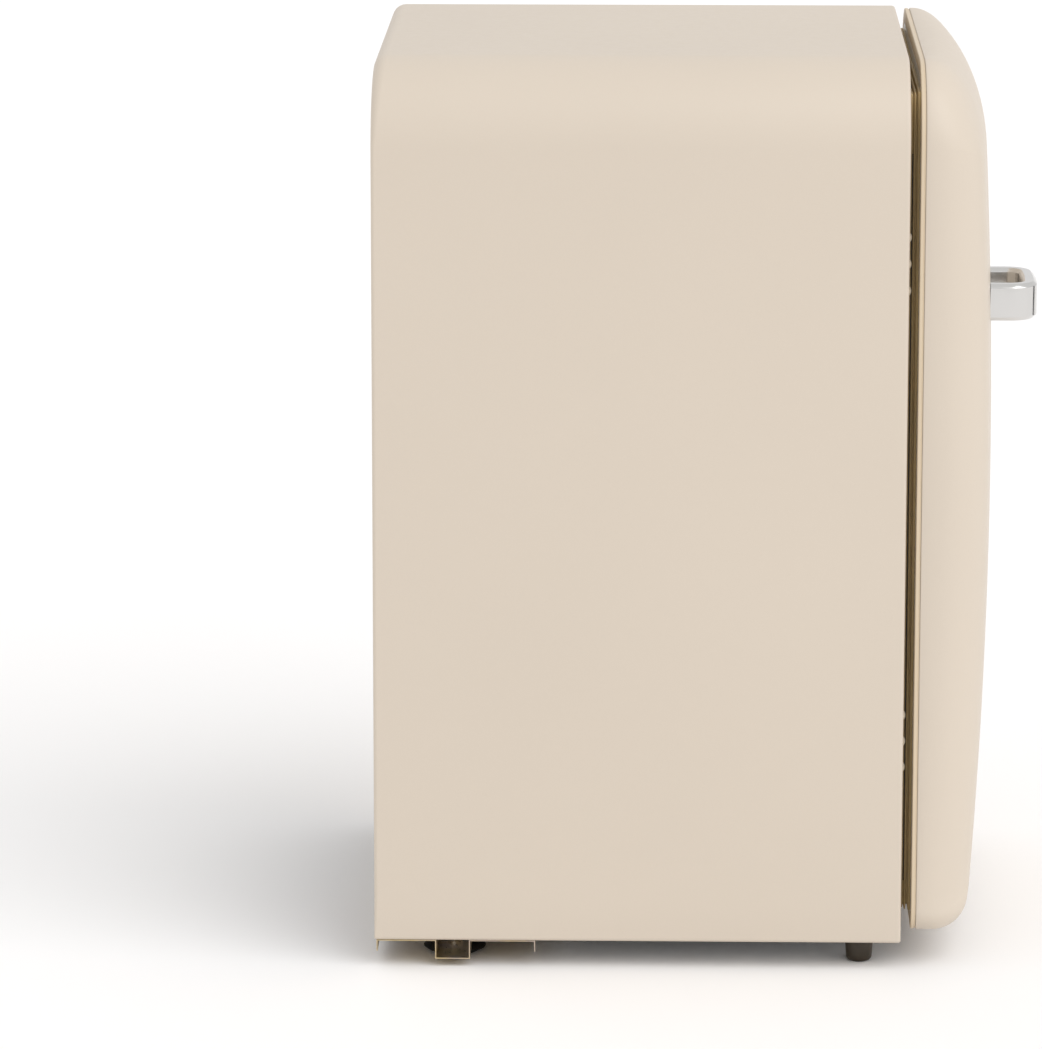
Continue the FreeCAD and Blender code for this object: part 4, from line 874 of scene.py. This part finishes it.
def dial_numbers():
    """Settings from 0 to 5 printed round the knob on the housing."""
    low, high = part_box("thermostat_knob")
    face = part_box("thermostat_housing")[0].x
    centre = ((low.y + high.y) / 2, (low.z + high.z) / 2)
    reach = (high.y - low.y) / 2 + 5.0 * MM
    ink = surface("marking_ink", (0.07, 0.09, 0.13), 0.5, variation=0.05, grain=900.0)
    digits = []
    for number in range(6):
        angle = math.radians(210 - 48 * number)
        text = bpy.data.curves.new("digit", "FONT")
        text.body = str(number)
        text.size = 6.4 * MM
        text.extrude = 0.05 * MM
        text.align_x = "CENTER"
        text.align_y = "CENTER"
        holder = bpy.data.objects.new("digit", text)
        bpy.context.scene.collection.objects.link(holder)
        bpy.context.view_layer.update()
        mesh = bpy.data.meshes.new_from_object(holder.evaluated_get(bpy.context.evaluated_depsgraph_get()))
        bpy.data.objects.remove(holder)
        digit = bpy.data.objects.new("digit", mesh)
        bpy.context.scene.collection.objects.link(digit)
        for vertex in mesh.vertices:
            a, b, c = vertex.co
            vertex.co = (face - 0.06 * MM - c, centre[0] - a - reach * math.cos(angle),
                         centre[1] + b + reach * math.sin(angle))
        mesh.flip_normals()
        digits.append(digit)
    finished(joined("dial_numbers", digits), "cabinet", "grey_plastic", material=ink)


# ---------------------------------------------------------------- studio

FLOOR_REACH = 60.0
CARD_NEAR, CARD_FAR, CARD_TOP = (1.34, -2.22), (0.90, -2.44), 1.3
WORLD_LIGHT = 0.84
KEY_TOWARD, KEY_LIGHT, KEY_SPREAD = (0.56, 0.62, -0.80), 1.25, 55
CAMERA_AT = (-5.998, 0.032, 1.657)
CAMERA_YAW, CAMERA_PITCH = math.radians(1.48), math.radians(-11.94)
LENS, SENSOR, VIEW_END = 206.9, 36, 200


def floor_and_card():
    """A pale floor, and a dark card at one side that only shows in the chrome."""
    corners = [(x * FLOOR_REACH, y * FLOOR_REACH, 0) for x, y in ((-1, -1), (1, -1), (1, 1), (-1, 1))]
    floor = new_piece("studio_floor", corners, [(0, 1, 2, 3)])
    white = surface("studio_paper", (0.95, 0.94, 0.935), 0.85, variation=0.003, patch=0.7, grain=60.0,
                    grain_depth=0.00005, specular=0.2)
    floor.data.materials.append(white)
    corners = [(*CARD_NEAR, 0), (*CARD_FAR, 0), (*CARD_FAR, CARD_TOP), (*CARD_NEAR, CARD_TOP)]
    card = new_piece("dark_card", corners, [(0, 1, 2, 3)])
    card.visible_camera = False
    card.visible_shadow = False
    card.visible_diffuse = False
    card.data.materials.append(surface("flag_cloth", (0.03, 0.03, 0.03), 0.9, variation=0.1, grain=80.0))


def key_light():
    """A wide sun from the viewer's side and the front."""
    lamp = bpy.data.lights.new("key", "SUN")
    lamp.energy = KEY_LIGHT
    lamp.angle = math.radians(KEY_SPREAD)
    piece = bpy.data.objects.new("key", lamp)
    piece.rotation_euler = Vector(KEY_TOWARD).to_track_quat("-Z", "Y").to_euler()
    bpy.context.scene.collection.objects.link(piece)


def studio_light():
    """Even light from all round, and plain display of colours."""
    world = bpy.data.worlds.new("studio")
    world.use_nodes = True
    background = world.node_tree.nodes["Background"]
    background.inputs["Color"].default_value = (1.0, 0.998, 0.998, 1)
    background.inputs["Strength"].default_value = WORLD_LIGHT
    bpy.context.scene.world = world
    key_light()
    bpy.context.scene.view_settings.view_transform = "Standard"
    bpy.context.scene.view_settings.look = "None"


def camera():
    """Long lens from the hinge-free side, a little above the top."""
    view = bpy.data.cameras.new("photo_camera")
    view.lens = LENS
    view.sensor_width = SENSOR
    view.clip_end = VIEW_END
    piece = bpy.data.objects.new("photo_camera", view)
    level = math.cos(CAMERA_PITCH)
    ahead = Vector((level * math.cos(CAMERA_YAW), level * math.sin(CAMERA_YAW), math.sin(CAMERA_PITCH)))
    piece.location = CAMERA_AT
    piece.rotation_euler = ahead.to_track_quat("-Z", "Y").to_euler()
    bpy.context.scene.collection.objects.link(piece)
    bpy.context.scene.camera = piece


paint_frame()
cabinet_outside()
back_panel()
back_panel_screws()
door_front()
door_insulation()
door_surround()
door_seal()
door_handle()
hinge_hole_plugs()
front_feet()
rear_feet()
rivet_heads()
filter_drier()
thermostat_dial()
dial_numbers()
floor_and_card()
studio_light()
camera()
